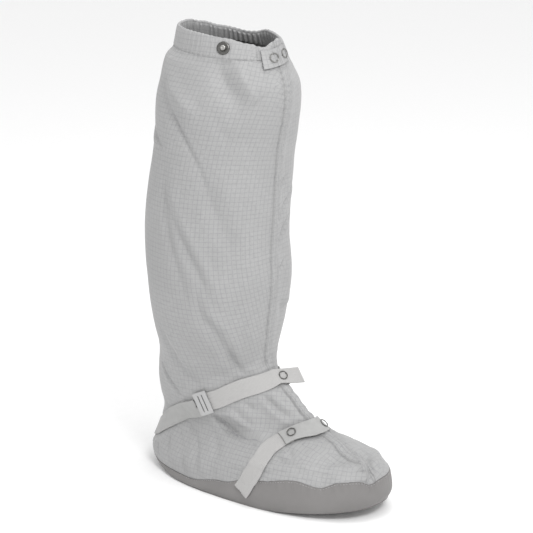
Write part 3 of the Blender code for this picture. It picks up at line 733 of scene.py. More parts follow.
SMOOTH = {"interpolation_type": "SMOOTHSTEP"}


def add(tree, kind, inputs=None, output=0, **settings):
    """Adds a node, sets its properties, sets or links its inputs, and gives an output."""
    made = tree.nodes.new("ShaderNode" + kind)
    for key, value in settings.items():
        setattr(made, key, value)
    for key, value in (inputs or {}).items():
        socket = made.inputs[key]
        if isinstance(value, bpy.types.NodeSocket):
            tree.links.new(value, socket)
        else:
            socket.default_value = (*value, 1) if socket.type == "RGBA" else value
    return made.outputs[output]


def new_material(name, **sockets):
    """A material whose shader has these values, with its node tree and its shader."""
    material = bpy.data.materials.new(name)
    material.use_nodes = True
    shader = material.node_tree.nodes["Principled BSDF"]
    for key, value in sockets.items():
        shader.inputs[key.replace("_", " ")].default_value = value
    return material, material.node_tree, shader


def link_shader(tree, shader, **sockets):
    """Links sockets to the shader's inputs of these names."""
    for key, socket in sockets.items():
        tree.links.new(socket, shader.inputs[key.replace("_", " ")])


def blotched(tree, pattern, low, high, first, second, share=1):
    """Goes over from the first colour towards the second as the pattern goes from low to high."""
    over = add(tree, "MapRange", {0: pattern, 1: low, 2: high, 3: 0, 4: share}, **SMOOTH)
    return add(tree, "Mix", {0: over, 6: first, 7: second}, 2, data_type="RGBA")


def ripple(tree, along, pitch):
    """A sine wave of this pitch along a coordinate."""
    phase = add(tree, "Math", {0: along, 1: 2 * math.pi / pitch}, operation="MULTIPLY")
    return add(tree, "Math", {0: phase}, operation="SINE")


def weave_axes(tree):
    """The weave coordinates in metres, then the one along and the one across."""
    weave = add(tree, "UVMap", uv_map="Weave")
    split = add(tree, "SeparateXYZ", {0: weave}).node
    return weave, split.outputs[0], split.outputs[1]


def darker(colour, share):
    return tuple(c * share for c in colour)


def gridded_cloth(name, colour, carbon):
    """Filament polyester with carbon threads: soft even sheen, a fine darker grid, and small
    hollows between the threads where the cloth has drawn in."""
    material, tree, shader = new_material(
        name, Roughness=0.62, Sheen_Weight=0.12, Sheen_Roughness=0.5
    )
    half_pitch = bpy.context.scene.boot_sizes.grid_pitch / 2
    weave, *axes = weave_axes(tree)
    place = add(tree, "TexCoord", output="Object")
    threads = {}
    for number, axis in enumerate(axes):
        off = add(tree, "Math", {0: axis, 1: half_pitch}, operation="PINGPONG")
        # a carbon thread is 0.3 mm wide, drawn 0.5 mm wide so that it shows
        edge = {0: off, 1: 0.00005, 2: 0.00045, 3: 1, 4: 0}
        threads[number] = add(tree, "MapRange", edge, **SMOOTH)
    grid = add(tree, "Math", threads, operation="MAXIMUM")
    # ground weave of 0.25 mm threads, drawn at 0.9 mm
    waves = {number: ripple(tree, axis, 0.0009) for number, axis in enumerate(axes)}
    ground = add(tree, "Math", waves, operation="MULTIPLY")
    cells = add(tree, "TexNoise", {"Vector": weave, "Scale": 1 / 0.004})
    patches = add(tree, "TexNoise", {"Vector": place, "Scale": 1 / 0.05, "Detail": 3.0})
    breaks = add(tree, "TexNoise", {"Vector": weave, "Scale": 1 / 0.0016, "Detail": 1.0})
    worn = blotched(tree, patches, 0.35, 0.65, darker(colour, 0.94), colour)
    mottled = blotched(tree, cells, 0.35, 0.7, worn, darker(colour, 0.84), 0.45)
    broken = add(tree, "MapRange", {0: breaks, 1: 0.3, 2: 0.6, 3: 0.35, 4: 1}, **SMOOTH)
    dashed = add(tree, "Math", {0: grid, 1: broken}, operation="MULTIPLY")
    lined = add(tree, "Math", {0: dashed, 1: CARBON_STRENGTH}, operation="MULTIPLY")
    shade = add(tree, "Mix", {0: lined, 6: mottled, 7: carbon}, 2, data_type="RGBA")
    # painted shade: the cloth's colour darkens along the felled seam's folded edges and rows of
    # stitches
    gap = add(tree, "Attribute", output="Fac", attribute_name="Seam")
    for line, half_width, strength in SEAM_SHADES:
        aside = add(tree, "Math", {0: gap, 1: line * MM}, operation="SUBTRACT")
        off = add(tree, "Math", {0: aside}, operation="ABSOLUTE")
        edge = {0: off, 1: half_width * MM / 3, 2: half_width * MM, 3: strength, 4: 0}
        over = add(tree, "MapRange", edge, **SMOOTH)
        inputs = {0: over, 6: shade, 7: darker(colour, 0.3)}
        shade = add(tree, "Mix", inputs, 2, data_type="RGBA")
    normal = add(tree, "Bump", {"Height": cells, "Strength": 0.4, "Distance": 0.0005})
    for height, strength, distance in ((grid, 0.35, 0.0003), (ground, 0.25, 0.0001)):
        inputs = {"Height": height, "Strength": strength, "Distance": distance}
        normal = add(tree, "Bump", {**inputs, "Normal": normal})
    link_shader(tree, shader, Base_Color=shade, Normal=normal)
    return material


def spotted(name, colour, size, detail, span, shares, bump, **sockets):
    """A material whose colour goes between two shares of itself in soft, slightly raised spots."""
    material, tree, shader = new_material(name, **sockets)
    place = add(tree, "TexCoord", output="Object")
    spots = add(tree, "TexNoise", {"Vector": place, "Scale": 1 / size, "Detail": detail})
    base = blotched(tree, spots, *span, *(darker(colour, share) for share in shares))
    normal = add(tree, "Bump", {"Height": spots, "Strength": bump[0], "Distance": bump[1]})
    link_shader(tree, shader, Base_Color=base, Normal=normal)
    return material, tree, shader, spots, normal


def coated_cloth(name, colour):
    """Cloth with a soft polymer coating: darker, closed surface with a low sheen and faint
    weave showing through."""
    sheen = {"Roughness": 0.52, "Specular_IOR_Level": 0.42}
    material, tree, shader, _, soft = spotted(
        name, colour, 0.035, 4.0, (0.35, 0.65), (0.92, 1), (0.35, 0.0010), **sheen
    )
    place = add(tree, "TexCoord", output="Object")
    fine = add(tree, "TexNoise", {"Vector": place, "Scale": 1 / 0.0012})
    inputs = {"Height": fine, "Strength": 0.2, "Distance": 0.00025, "Normal": soft}
    link_shader(tree, shader, Normal=add(tree, "Bump", inputs))
    return material


def ribbed_elastic(name, colour):
    """Woven elastic: matt, pale, with crosswise ribs over the rubber and a plain selvedge."""
    material, tree, shader = new_material(
        name, Roughness=0.72, Sheen_Weight=0.15, Sheen_Roughness=0.5
    )
    weave, along, across = weave_axes(tree)
    # ribs of 0.7 mm, drawn at 1.3 mm
    rib, channel = ripple(tree, along, 0.0013), ripple(tree, across, 0.0032)
    cells = add(tree, "TexNoise", {"Vector": weave, "Scale": 1 / 0.003})
    # painted shade: the colour darkens in the hollows between the ribs
    painted_rib_shade = add(tree, "MapRange", {0: rib, 1: -1, 2: 1, 3: 0.22, 4: 0}, **SMOOTH)
    inputs = {0: painted_rib_shade, 6: colour, 7: darker(colour, 0.72)}
    shade = add(tree, "Mix", inputs, 2, data_type="RGBA")
    shade = blotched(tree, cells, 0.4, 0.7, shade, darker(colour, 0.88), 0.25)
    ribs = add(tree, "Bump", {"Height": rib, "Strength": 0.45, "Distance": 0.00022})
    inputs = {"Height": channel, "Strength": 0.2, "Distance": 0.00015, "Normal": ribs}
    link_shader(tree, shader, Base_Color=shade, Normal=add(tree, "Bump", inputs))
    return material


def plain_tape(name, colour):
    """Folded cloth tape: the same polyester without carbon threads, a close plain weave."""
    material, tree, shader = new_material(
        name, Roughness=0.66, Sheen_Weight=0.12, Sheen_Roughness=0.5
    )
    weave, *axes = weave_axes(tree)
    # threads of 0.25 mm, drawn at 0.8 mm
    waves = {number: ripple(tree, axis, 0.0008) for number, axis in enumerate(axes)}
    ground = add(tree, "Math", waves, operation="MULTIPLY")
    cells = add(tree, "TexNoise", {"Vector": weave, "Scale": 1 / 0.006, "Detail": 3.0})
    base = blotched(tree, cells, 0.35, 0.7, colour, darker(colour, 0.88), 0.5)
    soft = add(tree, "Bump", {"Height": cells, "Strength": 0.4, "Distance": 0.0005})
    inputs = {"Height": ground, "Strength": 0.2, "Distance": 0.0001, "Normal": soft}
    link_shader(tree, shader, Base_Color=base, Normal=add(tree, "Bump", inputs))
    return material


def moulded_plastic(name, colour):
    """Acetal buckle from a polished mould: smooth, slightly satin, faint flow marks."""
    look = {"Roughness": 0.34, "IOR": 1.48}
    return spotted(name, colour, 0.006, 3.0, (0.35, 0.65), (0.95, 1), (0.15, 0.0003), **look)[0]


def snap_metal(name, colour, roughness):
    """Nickel-plated brass pressed in a die: grey metal with a soft blurred shine and scuffs."""
    material, tree, shader, scuff, _ = spotted(
        name, colour, 0.0016, 3.0, (0.4, 0.65), (1, 0.75), (0.1, 0.0001), Metallic=1.0
    )
    inputs = {0: scuff, 1: 0.3, 2: 0.7, 3: roughness - 0.06, 4: roughness + 0.12}
    link_shader(tree, shader, Roughness=add(tree, "MapRange", inputs, **SMOOTH))
    return material


def sewing_thread(name, colour):
    """Polyester thread: two twisted plies, slightly shiny, close to the cloth's own grey."""
    look = {"Roughness": 0.5}
    return spotted(name, colour, 0.0008, 1.0, (0.35, 0.65), (0.8, 1), (0.3, 0.0001), **look)[0]


def studio_floor(name, colour):
    """Matt paper sweep, flat and nearly even white."""
    look = {"Roughness": 0.9}
    return spotted(name, colour, 0.01, 2.0, (0.3, 0.7), (0.99, 1), (0.0, 0.001), **look)[0]


MATERIALS = {}


def material_of(kind):
    """One of the boot's materials, made when it is first asked for."""
    colours = bpy.context.scene.boot_colours
    metal = colours.metal
    makers = {
        "cloth": (gridded_cloth, "polyester_grid_cloth", colours.cloth, colours.carbon),
        "coated": (coated_cloth, "coated_sole_cloth", colours.coated),
        "elastic": (ribbed_elastic, "woven_elastic", colours.elastic),
        "tape": (plain_tape, "polyester_tape", colours.tape),
        "plastic": (moulded_plastic, "acetal_plastic", colours.plastic),
        "metal": (snap_metal, "nickel_plated_brass", metal, 0.34),
        # painted shade: darker copies of the same plated brass, deep for the ankle and instep
        # snaps and the stud's flange, half for the collar snaps
        "metal with painted deep shade": (snap_metal, "nickel_plated_brass_dark", darker(metal, 0.32), 0.3),
        "dull metal with painted half shade": (snap_metal, "nickel_plated_brass_dull", darker(metal, 0.6), 0.4),
        "thread": (sewing_thread, "polyester_thread", colours.thread),
        "floor": (studio_floor, "white_paper", colours.floor),
    }
    if kind not in MATERIALS:
        maker, *values = makers[kind]
        MATERIALS[kind] = maker(*values)
    return MATERIALS[kind]


# Pieces

TOP_OF_CLOTH = CASING_PLACE - 0.01


def flat_panel():
    """One side panel laid flat: the grid of its weave coordinates, front seam to back seam.

    It starts as the run round the boot from the back seam against the height. Then springs
    between neighbours draw each cell to its real size, as in the cut cloth."""
    levels = np.linspace(RAND_PLACE - 0.3, RIM_PLACE, 74)
    turns = np.linspace(math.pi, 2 * math.pi, 61)
    spots = form(levels[:, None], turns[None, :])
    hops = np.diff(spots, axis=1)
    run = np.cumsum(np.hypot(hops[..., 0], hops[..., 1]), axis=1)
    run = np.concatenate([np.zeros((len(levels), 1)), run], axis=1)
    flat = np.stack([run, spots[..., 2]], -1)
    every, low, high = slice(None), slice(None, -1), slice(1, None)
    springs = (((every, low), (every, high)), ((low, every), (high, every)))
    springs += (((low, low), (high, high)), ((low, high), (high, low)))
    for _ in range(500):
        move = np.zeros_like(flat)
        for first, second in springs:
            span = flat[second] - flat[first]
            real = np.linalg.norm(spots[second] - spots[first], axis=-1)
            push = span * (1 - real / np.linalg.norm(span, axis=-1))[..., None] / 8
            move[first] += push
            move[second] -= push
        flat += move
    return levels, turns, flat


PANEL = flat_panel()


def panel_weave(place, turn):
    """Weave coordinates in metres at points of the upper; its two sides are mirror images."""
    levels, turns, flat = PANEL
    near = turn >= math.pi
    i = (place - levels[0]) / (levels[1] - levels[0])
    j = (np.where(near, turn, 2 * math.pi - turn) - turns[0]) / (turns[1] - turns[0])
    weave, _, _ = between(flat, i, j)
    weave[:, 0] *= np.where(near, 1, -1)
    return weave


def lay_cloth(lift, low, high):
    """The lay function of the upper's cloth between two places, moved outwards by lift."""

    def lay(a, b):
        place, turn = low + (high - low) * b, 2 * math.pi * a
        spots, _ = cloth(place, turn, lift)
        return spots, panel_weave(place, turn)

    return lay


class BOOT_OT_upper(bpy.types.Operator):
    """Cloth of the upper with its folds, and the inside of it"""

    bl_idname = "boot.upper"
    bl_label = "Upper cloth"

    def execute(self, context):
        sizes = context.scene.boot_sizes
        low = RAND_PLACE - 0.12
        lay = lay_cloth(0.0, low, TOP_OF_CLOTH)
        skin = laid_grid("upper_cloth", sizes.columns, sizes.rows, lay, closed=True)
        finish("upper_cloth", skin, material_of("cloth"), ("upper",))
        lay = lay_cloth(-0.0013, low, CASING_PLACE - 0.1)
        inside = laid_grid("upper_inside", 170, 130, lay, closed=True, flip=True)
        finish("upper_inside", inside, material_of("cloth"), ("upper",))
        return {"FINISHED"}


class BOOT_OT_casing(bpy.types.Operator):
    """Elastic casing round the collar, gathered inside and rolled over at the rim"""

    bl_idname = "boot.casing"
    bl_label = "Collar casing"

    def execute(self, context):
        depth = context.scene.boot_sizes.gather_depth

        def lay(a, b):
            turn = 2 * math.pi * a
            pleat = gathers(turn)
            outside = np.clip(b / CASING_OUTSIDE, 0, 1)
            over = np.clip((b - CASING_OUTSIDE) / CASING_OVER, 0, 1)
            inside = np.clip((b - CASING_OUTSIDE - CASING_OVER) / CASING_OUTSIDE, 0, 1)
            radius = CASING_WALL / 2
            place = CASING_PLACE - 0.02 + 1.02 * outside - 1.0 * inside
            swell = CASING_SWELL * np.sin(math.pi * outside)
            lift = CASING_STEP + swell + OUTSIDE_PLEATS * pleat * (1 - over)
            lift = lift - radius + radius * np.cos(math.pi * over)
            lift -= (0.0008 + depth * pleat) * ease(inside / 0.3)
            # the casing's lower edge is sewn down, and the tab pulls it in beside its end
            lift -= 0.0007 * ease((0.05 - b) / 0.05)
            off_notch = (np.degrees(turn) - TAB_NOTCH) / TAB_NOTCH_WIDTH
            lift -= TAB_NOTCH_DEPTH * np.exp(-(off_notch**2)) * (1 - over)
            spots = form(place, turn)
            normals = outward(place, turn)
            up = unit(form(RIM_PLACE, turn) - form(RIM_PLACE - 0.2, turn))
            crown = (radius + RIM_PLEATS * pleat) * np.sin(math.pi * over)
            band = SEAM_RISE * seam_band(off_seam(spots)) * (1 - over)
            spots = spots + normals * (lift + band)[:, None] + up * crown[:, None]
            weave = panel_weave(np.clip(place, RAND_PLACE, RIM_PLACE), turn)
            weave[:, 0] *= 1.3
            weave[:, 1] += 0.003 * over + 2 * inside * 0.019
            return spots, weave

        mesh = laid_grid("collar_casing", 620, 56, lay, closed=True)
        finish("collar_casing", mesh, material_of("cloth"), ("upper",))
        turn = np.linspace(0, 2 * math.pi, 400)
        place = np.full(400, CASING_PLACE + 0.09)
        spots = off_form(place, turn, np.full(400, CASING_STEP + 0.0002))
        stitches("casing_stitches", [(spots, outward(place, turn))])
        return {"FINISHED"}


def side_of_seam(place, offset, front):
    """Turns that stay this far from the centre front or back line."""
    row = blend_rows(SECTIONS, place)
    aside = offset + (seam_line(row[:, 0]) if front else 0 * place)
    power = row[:, 6] if front else row[:, 7]
    turn = np.arcsin(np.clip((np.abs(aside) / row[:, 4]) ** (power / 2), 0, 1)) * np.sign(aside)
    return turn % (2 * math.pi) if front else math.pi - turn


class BOOT_OT_seams(bpy.types.Operator):
    """Two rows of stitches down each felled seam"""

    bl_idname = "boot.seams"
    bl_label = "Seam stitches"

    def execute(self, context):
        for name, front in (("front_seam_stitches", True), ("back_seam_stitches", False)):
            lines = []
            for offset in (-SEAM_STITCHES, SEAM_STITCHES):
                place = np.linspace(RAND_PLACE + 0.15, CASING_PLACE - 0.05, 420)
                turn = side_of_seam(place, offset, front)
                spots, normals = cloth(place, turn, 0.00005)
                keep = strap_distance(spots) > 0.0025
                changes = np.flatnonzero(np.diff(keep.astype(int))) + 1
                runs = np.split(np.arange(len(place)), changes)
                lines += [(spots[r], normals[r]) for r in runs if keep[r[0]] and len(r) > 3]
            stitches(name, lines)
        return {"FINISHED"}


def sole_edge(turn, inset, rise):
    """The floor outline moved inwards, standing off the sole's underside by rise."""
    edge = form(0.0, turn)
    ahead = form(0.0, turn + 0.02) - form(0.0, turn - 0.02)
    inward = unit(np.stack([-ahead[:, 1], ahead[:, 0], 0 * turn], -1))
    spots = edge + inward * np.broadcast_to(inset, turn.shape)[:, None]
    spots[:, 2] = spring(spots[:, 0]) + rise
    return spots


class BOOT_OT_sole(bpy.types.Operator):
    """Coated rand and bottom panel with the seam between them"""

    bl_idname = "boot.sole"
    bl_label = "Sole"

    def execute(self, context):
        def lay_rand(a, b):
            turn = 2 * math.pi * a
            under = np.clip(b / RAND_UNDER, 0, 1)
            side = np.clip((b - RAND_UNDER) / (1 - RAND_UNDER), 0, 1)
            place = RAND_PLACE * side
            spots, normals = form(place, turn), outward(place, turn)
            # folds, a soft unevenness and the puckers under the seam, none at the sole's edge
            height = fold_relief(spots, normals) * ease(place / 0.5)
            height += 0.0006 * soft_noise(spots, (0.03, 0.03, 0.02), 5.3) * ease(place / 0.6)
            height += 0.0003 * np.sin(80 * turn + 2 * np.sin(5 * turn)) * ease((place - 1.2) / 0.8)
            height -= 0.0006 * ease((place - 1.93) / 0.07)
            flank = spots + normals * np.clip(height, -0.003, 0.0016)[:, None]
            below = sole_edge(turn, PLATE_INSET * (1 - under), 0.0)
            lip = LIP_REACH * np.exp(-((side / LIP_SHARE) ** 2)) * (under >= 1)
            flank[:, :2] += unit(normals[:, :2]) * lip[:, None]
            flank[:, 2] = np.maximum(flank[:, 2], spring(flank[:, 0]))
            spots = np.where((b < RAND_UNDER)[:, None], below, flank)
            return spots, np.stack([a * 0.75, b * 0.05], -1)

        rand = laid_grid("rand_band", 420, 44, lay_rand, closed=True)
        obj = finish("rand_band", rand, material_of("coated"), ("rand",))
        # the wall thins out at the lip, which is too low to hold its full thickness
        wall = obj.vertex_groups.new(name="Wall")
        for vertex in rand.vertices:
            above = (vertex.co.z - spring(vertex.co.x)) / FULL_WALL_HEIGHT
            wall.add([vertex.index], min(max(above, 0.05), 1.0), "REPLACE")
        add_modifier(obj, "SOLIDIFY", thickness=RAND_WALL, offset=-1.0, vertex_group="Wall")

        def lay_plate(a, b):
            turn = math.pi * (1 - a)
            half = sole_edge(turn, PLATE_INSET + JOINT_GAP, 0.0)
            across = 2 * b - 1
            x, y = half[:, 0], half[:, 1] * across
            edge = np.clip(1 - np.abs(across), 0, 1) * np.abs(half[:, 1])
            spots = np.stack([x, y, 0 * x], -1)
            # slight waves in the panel, and the groove its stitches draw along the edge
            wave = 0.0005 * np.clip(soft_noise(spots, (0.05, 0.02, 1), 2.4) + 0.1, 0, 1)
            groove = 0.0004 * np.exp(-(((edge - 0.0025) / 0.0007) ** 2))
            spots[:, 2] = spring(x) + wave * ease(edge / 0.006) + groove
            return spots, np.stack([x, y], -1)

        plate = laid_grid("bottom_panel", 260, 90, lay_plate, closed=True, flip=True)
        obj = finish("bottom_panel", plate, material_of("coated"), ("outsole",))
        add_modifier(obj, "SOLIDIFY", thickness=PLATE_THICKNESS, offset=-1.0)

        turn = np.linspace(0, 2 * math.pi, 500)
        seam = sole_edge(turn, PLATE_INSET + 0.0028, 0.00005)
        down = np.tile((0.0, 0.0, -1.0), (500, 1))
        stitches("panel_stitches", [(seam, down)], height=0.0002)
        place = np.full(700, RAND_PLACE - 0.08)
        turn = np.linspace(0, 2 * math.pi, 700)
        spots, normals = form(place, turn), outward(place, turn)
        stitches("rand_stitches", [(spots + normals * 0.0001, normals)])
        return {"FINISHED"}


def strap_piece(name, grids, material, nodes, wave=0.0):
    """A strap from its inner and outer rows: one grid given its thickness, with soft edges."""
    inner, outer = grids
    middle = (inner + outer) / 2
    rows, columns = middle.shape[:2]
    run = run_along(middle[:, columns // 2])
    wide = np.linalg.norm(middle[0, -1] - middle[0, 0])

    def lay(a, b):
        i, j = a * (rows - 1), b * (columns - 1)
        spots, i0, j0 = between(middle, i, j)
        normal = unit(outer[i0, j0] - inner[i0, j0])
        along = np.interp(i, np.arange(rows), run)
        edge = np.abs(2 * b - 1) ** 6
        lift = wave * np.sin(along / 0.006) * edge
        return spots + normal * lift[:, None], np.stack([along, b * wide], -1)

    mesh = laid_grid(name, rows - 1, 2 * (columns - 1), lay)
    obj = finish(name, mesh, material, nodes)
    add_modifier(obj, "SOLIDIFY", thickness=STRAP_THICKNESS, offset=0.0)
    edge = {"limit_method": "ANGLE", "angle_limit": math.radians(60)}
    add_modifier(obj, "BEVEL", width=0.0003, segments=2, **edge)


def edge_line(grids, share):
    """A line of (points, normals) along a strap's outer face, at a share of its width."""
    inner, outer = grids
    columns = outer.shape[1]
    j = share * (columns - 1)
    j0 = min(int(j), columns - 2)
    line = outer[:, j0] * (1 - j + j0) + outer[:, j0 + 1] * (j - j0)
    return line, unit(outer[:, j0] - inner[:, j0])


def cross_line(grids, share):
    """A line of (points, normals) across a strap's outer face."""
    inner, outer = grids
    row = int(share * (len(outer) - 1))
    return outer[row, 1:-1], unit(outer[row, 1:-1] - inner[row, 1:-1])


class BOOT_OT_straps(bpy.types.Operator):
    """Heel tape, ankle elastic, instep elastic, instep tab and collar tab"""

    bl_idname = "boot.straps"
    bl_label = "Straps"

    def execute(self, context):
        tape, elastic = material_of("tape"), material_of("elastic")
        gridded, ribbed = "grid_cloth", "ribbed_elastic"
        lift = (STRAP_THICKNESS + JOINT_GAP) / MM
        lifted = [(degrees, place, rise + lift) for degrees, place, rise in HEEL_TAPE_WAY]
        turned = [grid[2:10] for grid in strap_grid(lifted, STRAP_WIDTH)]
        ankle = with_tail(*ANKLE_ON_BOOT)
        for name, grids, material, node, slot, wave in (
            ("heel_tape", HEEL_TAPE, tape, "ankle_tape", gridded, 0),
            ("heel_tape_turned_end", turned, tape, "ankle_tape_end", gridded, 0),
            ("ankle_elastic_strap", ankle, elastic, "ankle_elastic", ribbed, 0.0002),
            ("instep_elastic_strap", INSTEP_STRAP, elastic, "instep_strap", ribbed, 0.0002),
            ("instep_cloth_tab", INSTEP_TAB, tape, "instep_tab", gridded, 0),
            ("collar_cloth_tab", COLLAR_TAB, material_of("cloth"), "collar_tab", gridded, 0),
        ):
            strap_piece(name, grids, material, (node,), wave)
        edges = ((HEEL_TAPE, 0.12), (INSTEP_TAB, 0.1), (COLLAR_TAB, 0.12))
        lines = [edge_line(grids, s) for grids, share in edges for s in (share, 1 - share)]
        ends = ((turned, 0.9), (INSTEP_TAB, 0.04), (COLLAR_TAB, 0.05))
        ends += ((INSTEP_STRAP, 0.03), (INSTEP_STRAP, 0.12))
        lines += [cross_line(grids, share) for grids, share in ends]
        stitches("strap_stitches", lines, length=0.0019)
        return {"FINISHED"}


def middle_of(node):
    """Middle of a solid's bounding box."""
    low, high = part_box(node)
    return (np.array(low) + np.array(high)) / 2


class BOOT_OT_slider(bpy.types.Operator):
    """Slide buckle where the heel tape meets the ankle elastic"""

    bl_idname = "boot.slider"
    bl_label = "Slide buckle"

    def execute(self, context):
        _, outer = ANKLE_ON_BOOT
        middle = outer.shape[1] // 2
        along = unit(outer[2, middle] - outer[0, middle])
        across = unit(outer[0, middle + 3] - outer[0, middle - 3])
        normal = unit(np.cross(along, across))
        piece = bmesh.new()
        bmesh.ops.create_grid(piece, x_segments=5, y_segments=3, size=0.5)
        inner_end = SLIDER_BAR / 2 + SLIDER_SLOT
        side = SLIDER_WIDTH / 2 - SLIDER_FRAME
        xs = (-SLIDER_LENGTH / 2, -inner_end, -SLIDER_BAR / 2)
        xs += (SLIDER_BAR / 2, inner_end, SLIDER_LENGTH / 2)
        ys = (-SLIDER_WIDTH / 2, -side, side, SLIDER_WIDTH / 2)
        for v in piece.verts:
            v.co.x = xs[round((v.co.x + 0.5) * 5)]
            v.co.y = ys[round((v.co.y + 0.5) * 3)]
        holes = []
        for face in piece.faces:
            spot = face.calc_center_median()
            if abs(spot.y) < side and SLIDER_BAR / 2 < abs(spot.x) < inner_end:
                holes.append(face)
        bmesh.ops.delete(piece, geom=holes, context="FACES")
        lifted = bmesh.ops.extrude_face_region(piece, geom=piece.faces[:])
        top = [v for v in lifted["geom"] if isinstance(v, bmesh.types.BMVert)]
        bmesh.ops.translate(piece, verts=top, vec=(0, 0, SLIDER_THICKNESS))
        bmesh.ops.translate(piece, verts=piece.verts, vec=(0, 0, -SLIDER_THICKNESS / 2))
        bmesh.ops.recalc_face_normals(piece, faces=piece.faces)
        sharp = [e for e in piece.edges if e.calc_face_angle(0) > 1.0]
        settings = {"segments": 3, "profile": 0.5, "affect": "EDGES", "material": -1}
        bmesh.ops.bevel(piece, geom=sharp, offset=SLIDER_EDGE, **settings)
        place = basis(middle_of("ankle_slider"), along, across, normal)
        bmesh.ops.transform(piece, matrix=place, verts=piece.verts)
        mesh = from_bmesh("slide_buckle", piece)
        finish("slide_buckle", mesh, material_of("plastic"), ("ankle_slider",))
        return {"FINISHED"}


def strap_normal(grids, centre):
    """The outer normal of a strap at the point nearest to the centre."""
    _, outer = grids
    near = np.linalg.norm(outer - centre, axis=2)
    i, j = np.unravel_index(np.argmin(near), near.shape)
    i, j = min(max(i, 1), len(outer) - 2), min(max(j, 1), outer.shape[1] - 2)
    along = outer[i + 1, j] - outer[i - 1, j]
    return unit(np.cross(along, outer[i, j + 1] - outer[i, j - 1]))


def stand_on(piece, centre, normal):
    """Moves a shape made at the origin to the centre, with its z along the normal."""
    turn = Vector(normal).to_track_quat("Z", "Y").to_matrix().to_4x4()
    place = Matrix.Translation(Vector(centre)) @ turn
    bmesh.ops.transform(piece, matrix=place, verts=piece.verts)


class BOOT_OT_snaps(bpy.types.Operator):
    """Ring snaps on the straps and tabs, and the stud on the collar"""

    bl_idname = "boot.snaps"
    bl_label = "Snaps"

    def execute(self, context):
        ankle = with_tail(*ANKLE_ON_BOOT)
        # each snap takes a copy of the plated brass with painted shade in its colour
        snaps = (
            ("ankle_ring_snap", "ankle_snap", ankle, "metal with painted deep shade"),
            ("instep_ring_snap_near", "instep_snap_a", INSTEP_TAB, "metal with painted deep shade"),
            ("instep_ring_snap_far", "instep_snap_b", INSTEP_TAB, "metal with painted deep shade"),
            ("collar_ring_snap_near", "collar_snap_a", COLLAR_TAB, "dull metal with painted half shade"),
            ("collar_ring_snap_far", "collar_snap_b", COLLAR_TAB, "dull metal with painted half shade"),
        )
        for name, node, grids, kind in snaps:
            centre = middle_of(node)
            piece = bmesh.new()
            ring = []
            for n in range(13):
                angle = 2 * math.pi * n / 12
                radius = RING_RADIUS + RING_WIDTH * math.cos(angle)
                ring.append((radius, RING_HEIGHT * math.sin(angle)))
            spun(piece, ring)
            for n in range(5):
                angle = 2 * math.pi * (n + 0.3) / 5
                prong = bmesh.ops.create_uvsphere(
                    piece, u_segments=8, v_segments=6, radius=PRONG_RADIUS
                )
                spot = (PRONGS_AT * math.cos(angle), PRONGS_AT * math.sin(angle), -0.0001)
                bmesh.ops.translate(piece, verts=prong["verts"], vec=spot)
            stand_on(piece, centre, strap_normal(grids, centre))
            finish(name, from_bmesh(name, piece), material_of(kind), (node,))
        place, turn = np.array([STUD_PLACE]), np.array([math.radians(STUD_DEGREES)])
        normal = outward(place, turn)[0]
        centre = off_form(place, turn, np.array([CASING_STEP + 2 * JOINT_GAP]))[0]
        # the stud's flange takes the plated brass with painted deep shade, its post the plain
        # plated brass
        for name, profile, kind in (
            ("collar_stud_flange", STUD_FLANGE, "metal with painted deep shade"),
            ("collar_stud_post", STUD_POST, "metal"),
        ):
            piece = bmesh.new()
            spun(piece, [(radius * MM, height * MM) for radius, height in profile])
            stand_on(piece, centre, normal)
            mesh = from_bmesh(name, piece)
            finish(name, mesh, material_of(kind), ("collar_stud",))
        return {"FINISHED"}


def area_light(name, place, spot, size, power):
    light = bpy.data.lights.new(name, "AREA")
    light.shape, light.size, light.energy = "DISK", size, power
    obj = bpy.data.objects.new(name, light)
    obj.location = place
    bpy.context.scene.collection.objects.link(obj)
    direction = Vector(spot) - obj.location
    obj.rotation_euler = direction.to_track_quat("-Z", "Y").to_euler()


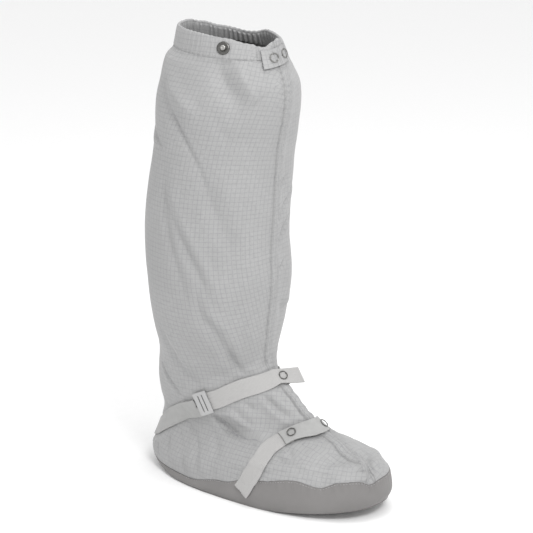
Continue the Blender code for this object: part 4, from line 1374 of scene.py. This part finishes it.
class BOOT_OT_stage(bpy.types.Operator):
    """Floor, soft lights and camera"""

    bl_idname = "boot.stage"
    bl_label = "Stage"

    def execute(self, context):
        scene = context.scene
        piece = bmesh.new()
        bmesh.ops.create_circle(piece, cap_ends=True, radius=9.0, segments=96)
        floor = bpy.data.objects.new("studio_floor", from_bmesh("studio_floor", piece))
        floor.data.materials.append(material_of("floor"))
        scene.collection.objects.link(floor)
        world = bpy.data.worlds.new("studio")
        scene.world = world
        world.use_nodes = True
        background = world.node_tree.nodes["Background"]
        background.inputs["Color"].default_value = (1, 1, 1, 1)
        background.inputs["Strength"].default_value = WORLD_LIGHT
        area_light("key_softbox", (1.35, -0.75, 1.75), (0, 0, 0.22), 0.7, 20)
        area_light("top_softbox", (0.2, 0.1, 2.1), (0, 0, 0.2), 0.9, 8)
        scene.view_settings.view_transform = "Standard"
        azimuth = math.radians(CAMERA_AZIMUTH)
        camera = bpy.data.objects.new("camera", bpy.data.cameras.new("camera"))
        camera.data.sensor_width = 36.0
        camera.data.lens = 18 / math.tan(math.radians(CAMERA_ANGLE) / 2)
        camera.data.clip_start, camera.data.clip_end = 0.05, 50
        camera.data.dof.use_dof = False
        side, back = math.sin(azimuth) * CAMERA_DISTANCE, math.cos(azimuth) * CAMERA_DISTANCE
        camera.location = (side - CAMERA_SHIFT, -back, CAMERA_HEIGHT)
        camera.rotation_euler = (math.radians(90 - CAMERA_DOWN), 0, azimuth)
        scene.collection.objects.link(camera)
        scene.camera = camera
        return {"FINISHED"}


PIECES = (
    BOOT_OT_upper,
    BOOT_OT_casing,
    BOOT_OT_seams,
    BOOT_OT_sole,
    BOOT_OT_straps,
    BOOT_OT_slider,
    BOOT_OT_snaps,
    BOOT_OT_stage,
)


class BOOT_PT_panel(bpy.types.Panel):
    """Sizes, colours and pieces of the boot"""

    bl_idname = "BOOT_PT_panel"
    bl_label = "Cleanroom boot"
    bl_space_type = "VIEW_3D"
    bl_region_type = "UI"
    bl_category = "Boot"

    def draw(self, context):
        for group in (context.scene.boot_sizes, context.scene.boot_colours):
            for key in group.__annotations__:
                self.layout.prop(group, key)
        for operator in PIECES:
            self.layout.operator(operator.bl_idname)


CLASSES = (BootSizes, BootColours, *PIECES, BOOT_PT_panel)


def register():
    for cls in CLASSES:
        bpy.utils.register_class(cls)
    bpy.types.Scene.boot_sizes = bpy.props.PointerProperty(type=BootSizes)
    bpy.types.Scene.boot_colours = bpy.props.PointerProperty(type=BootColours)


def unregister():
    del bpy.types.Scene.boot_colours
    del bpy.types.Scene.boot_sizes
    for cls in reversed(CLASSES):
        bpy.utils.unregister_class(cls)


def main():
    register()
    for operator in PIECES:
        group, name = operator.bl_idname.split(".")
        getattr(getattr(bpy.ops, group), name)()


if __name__ == "__main__":
    main()
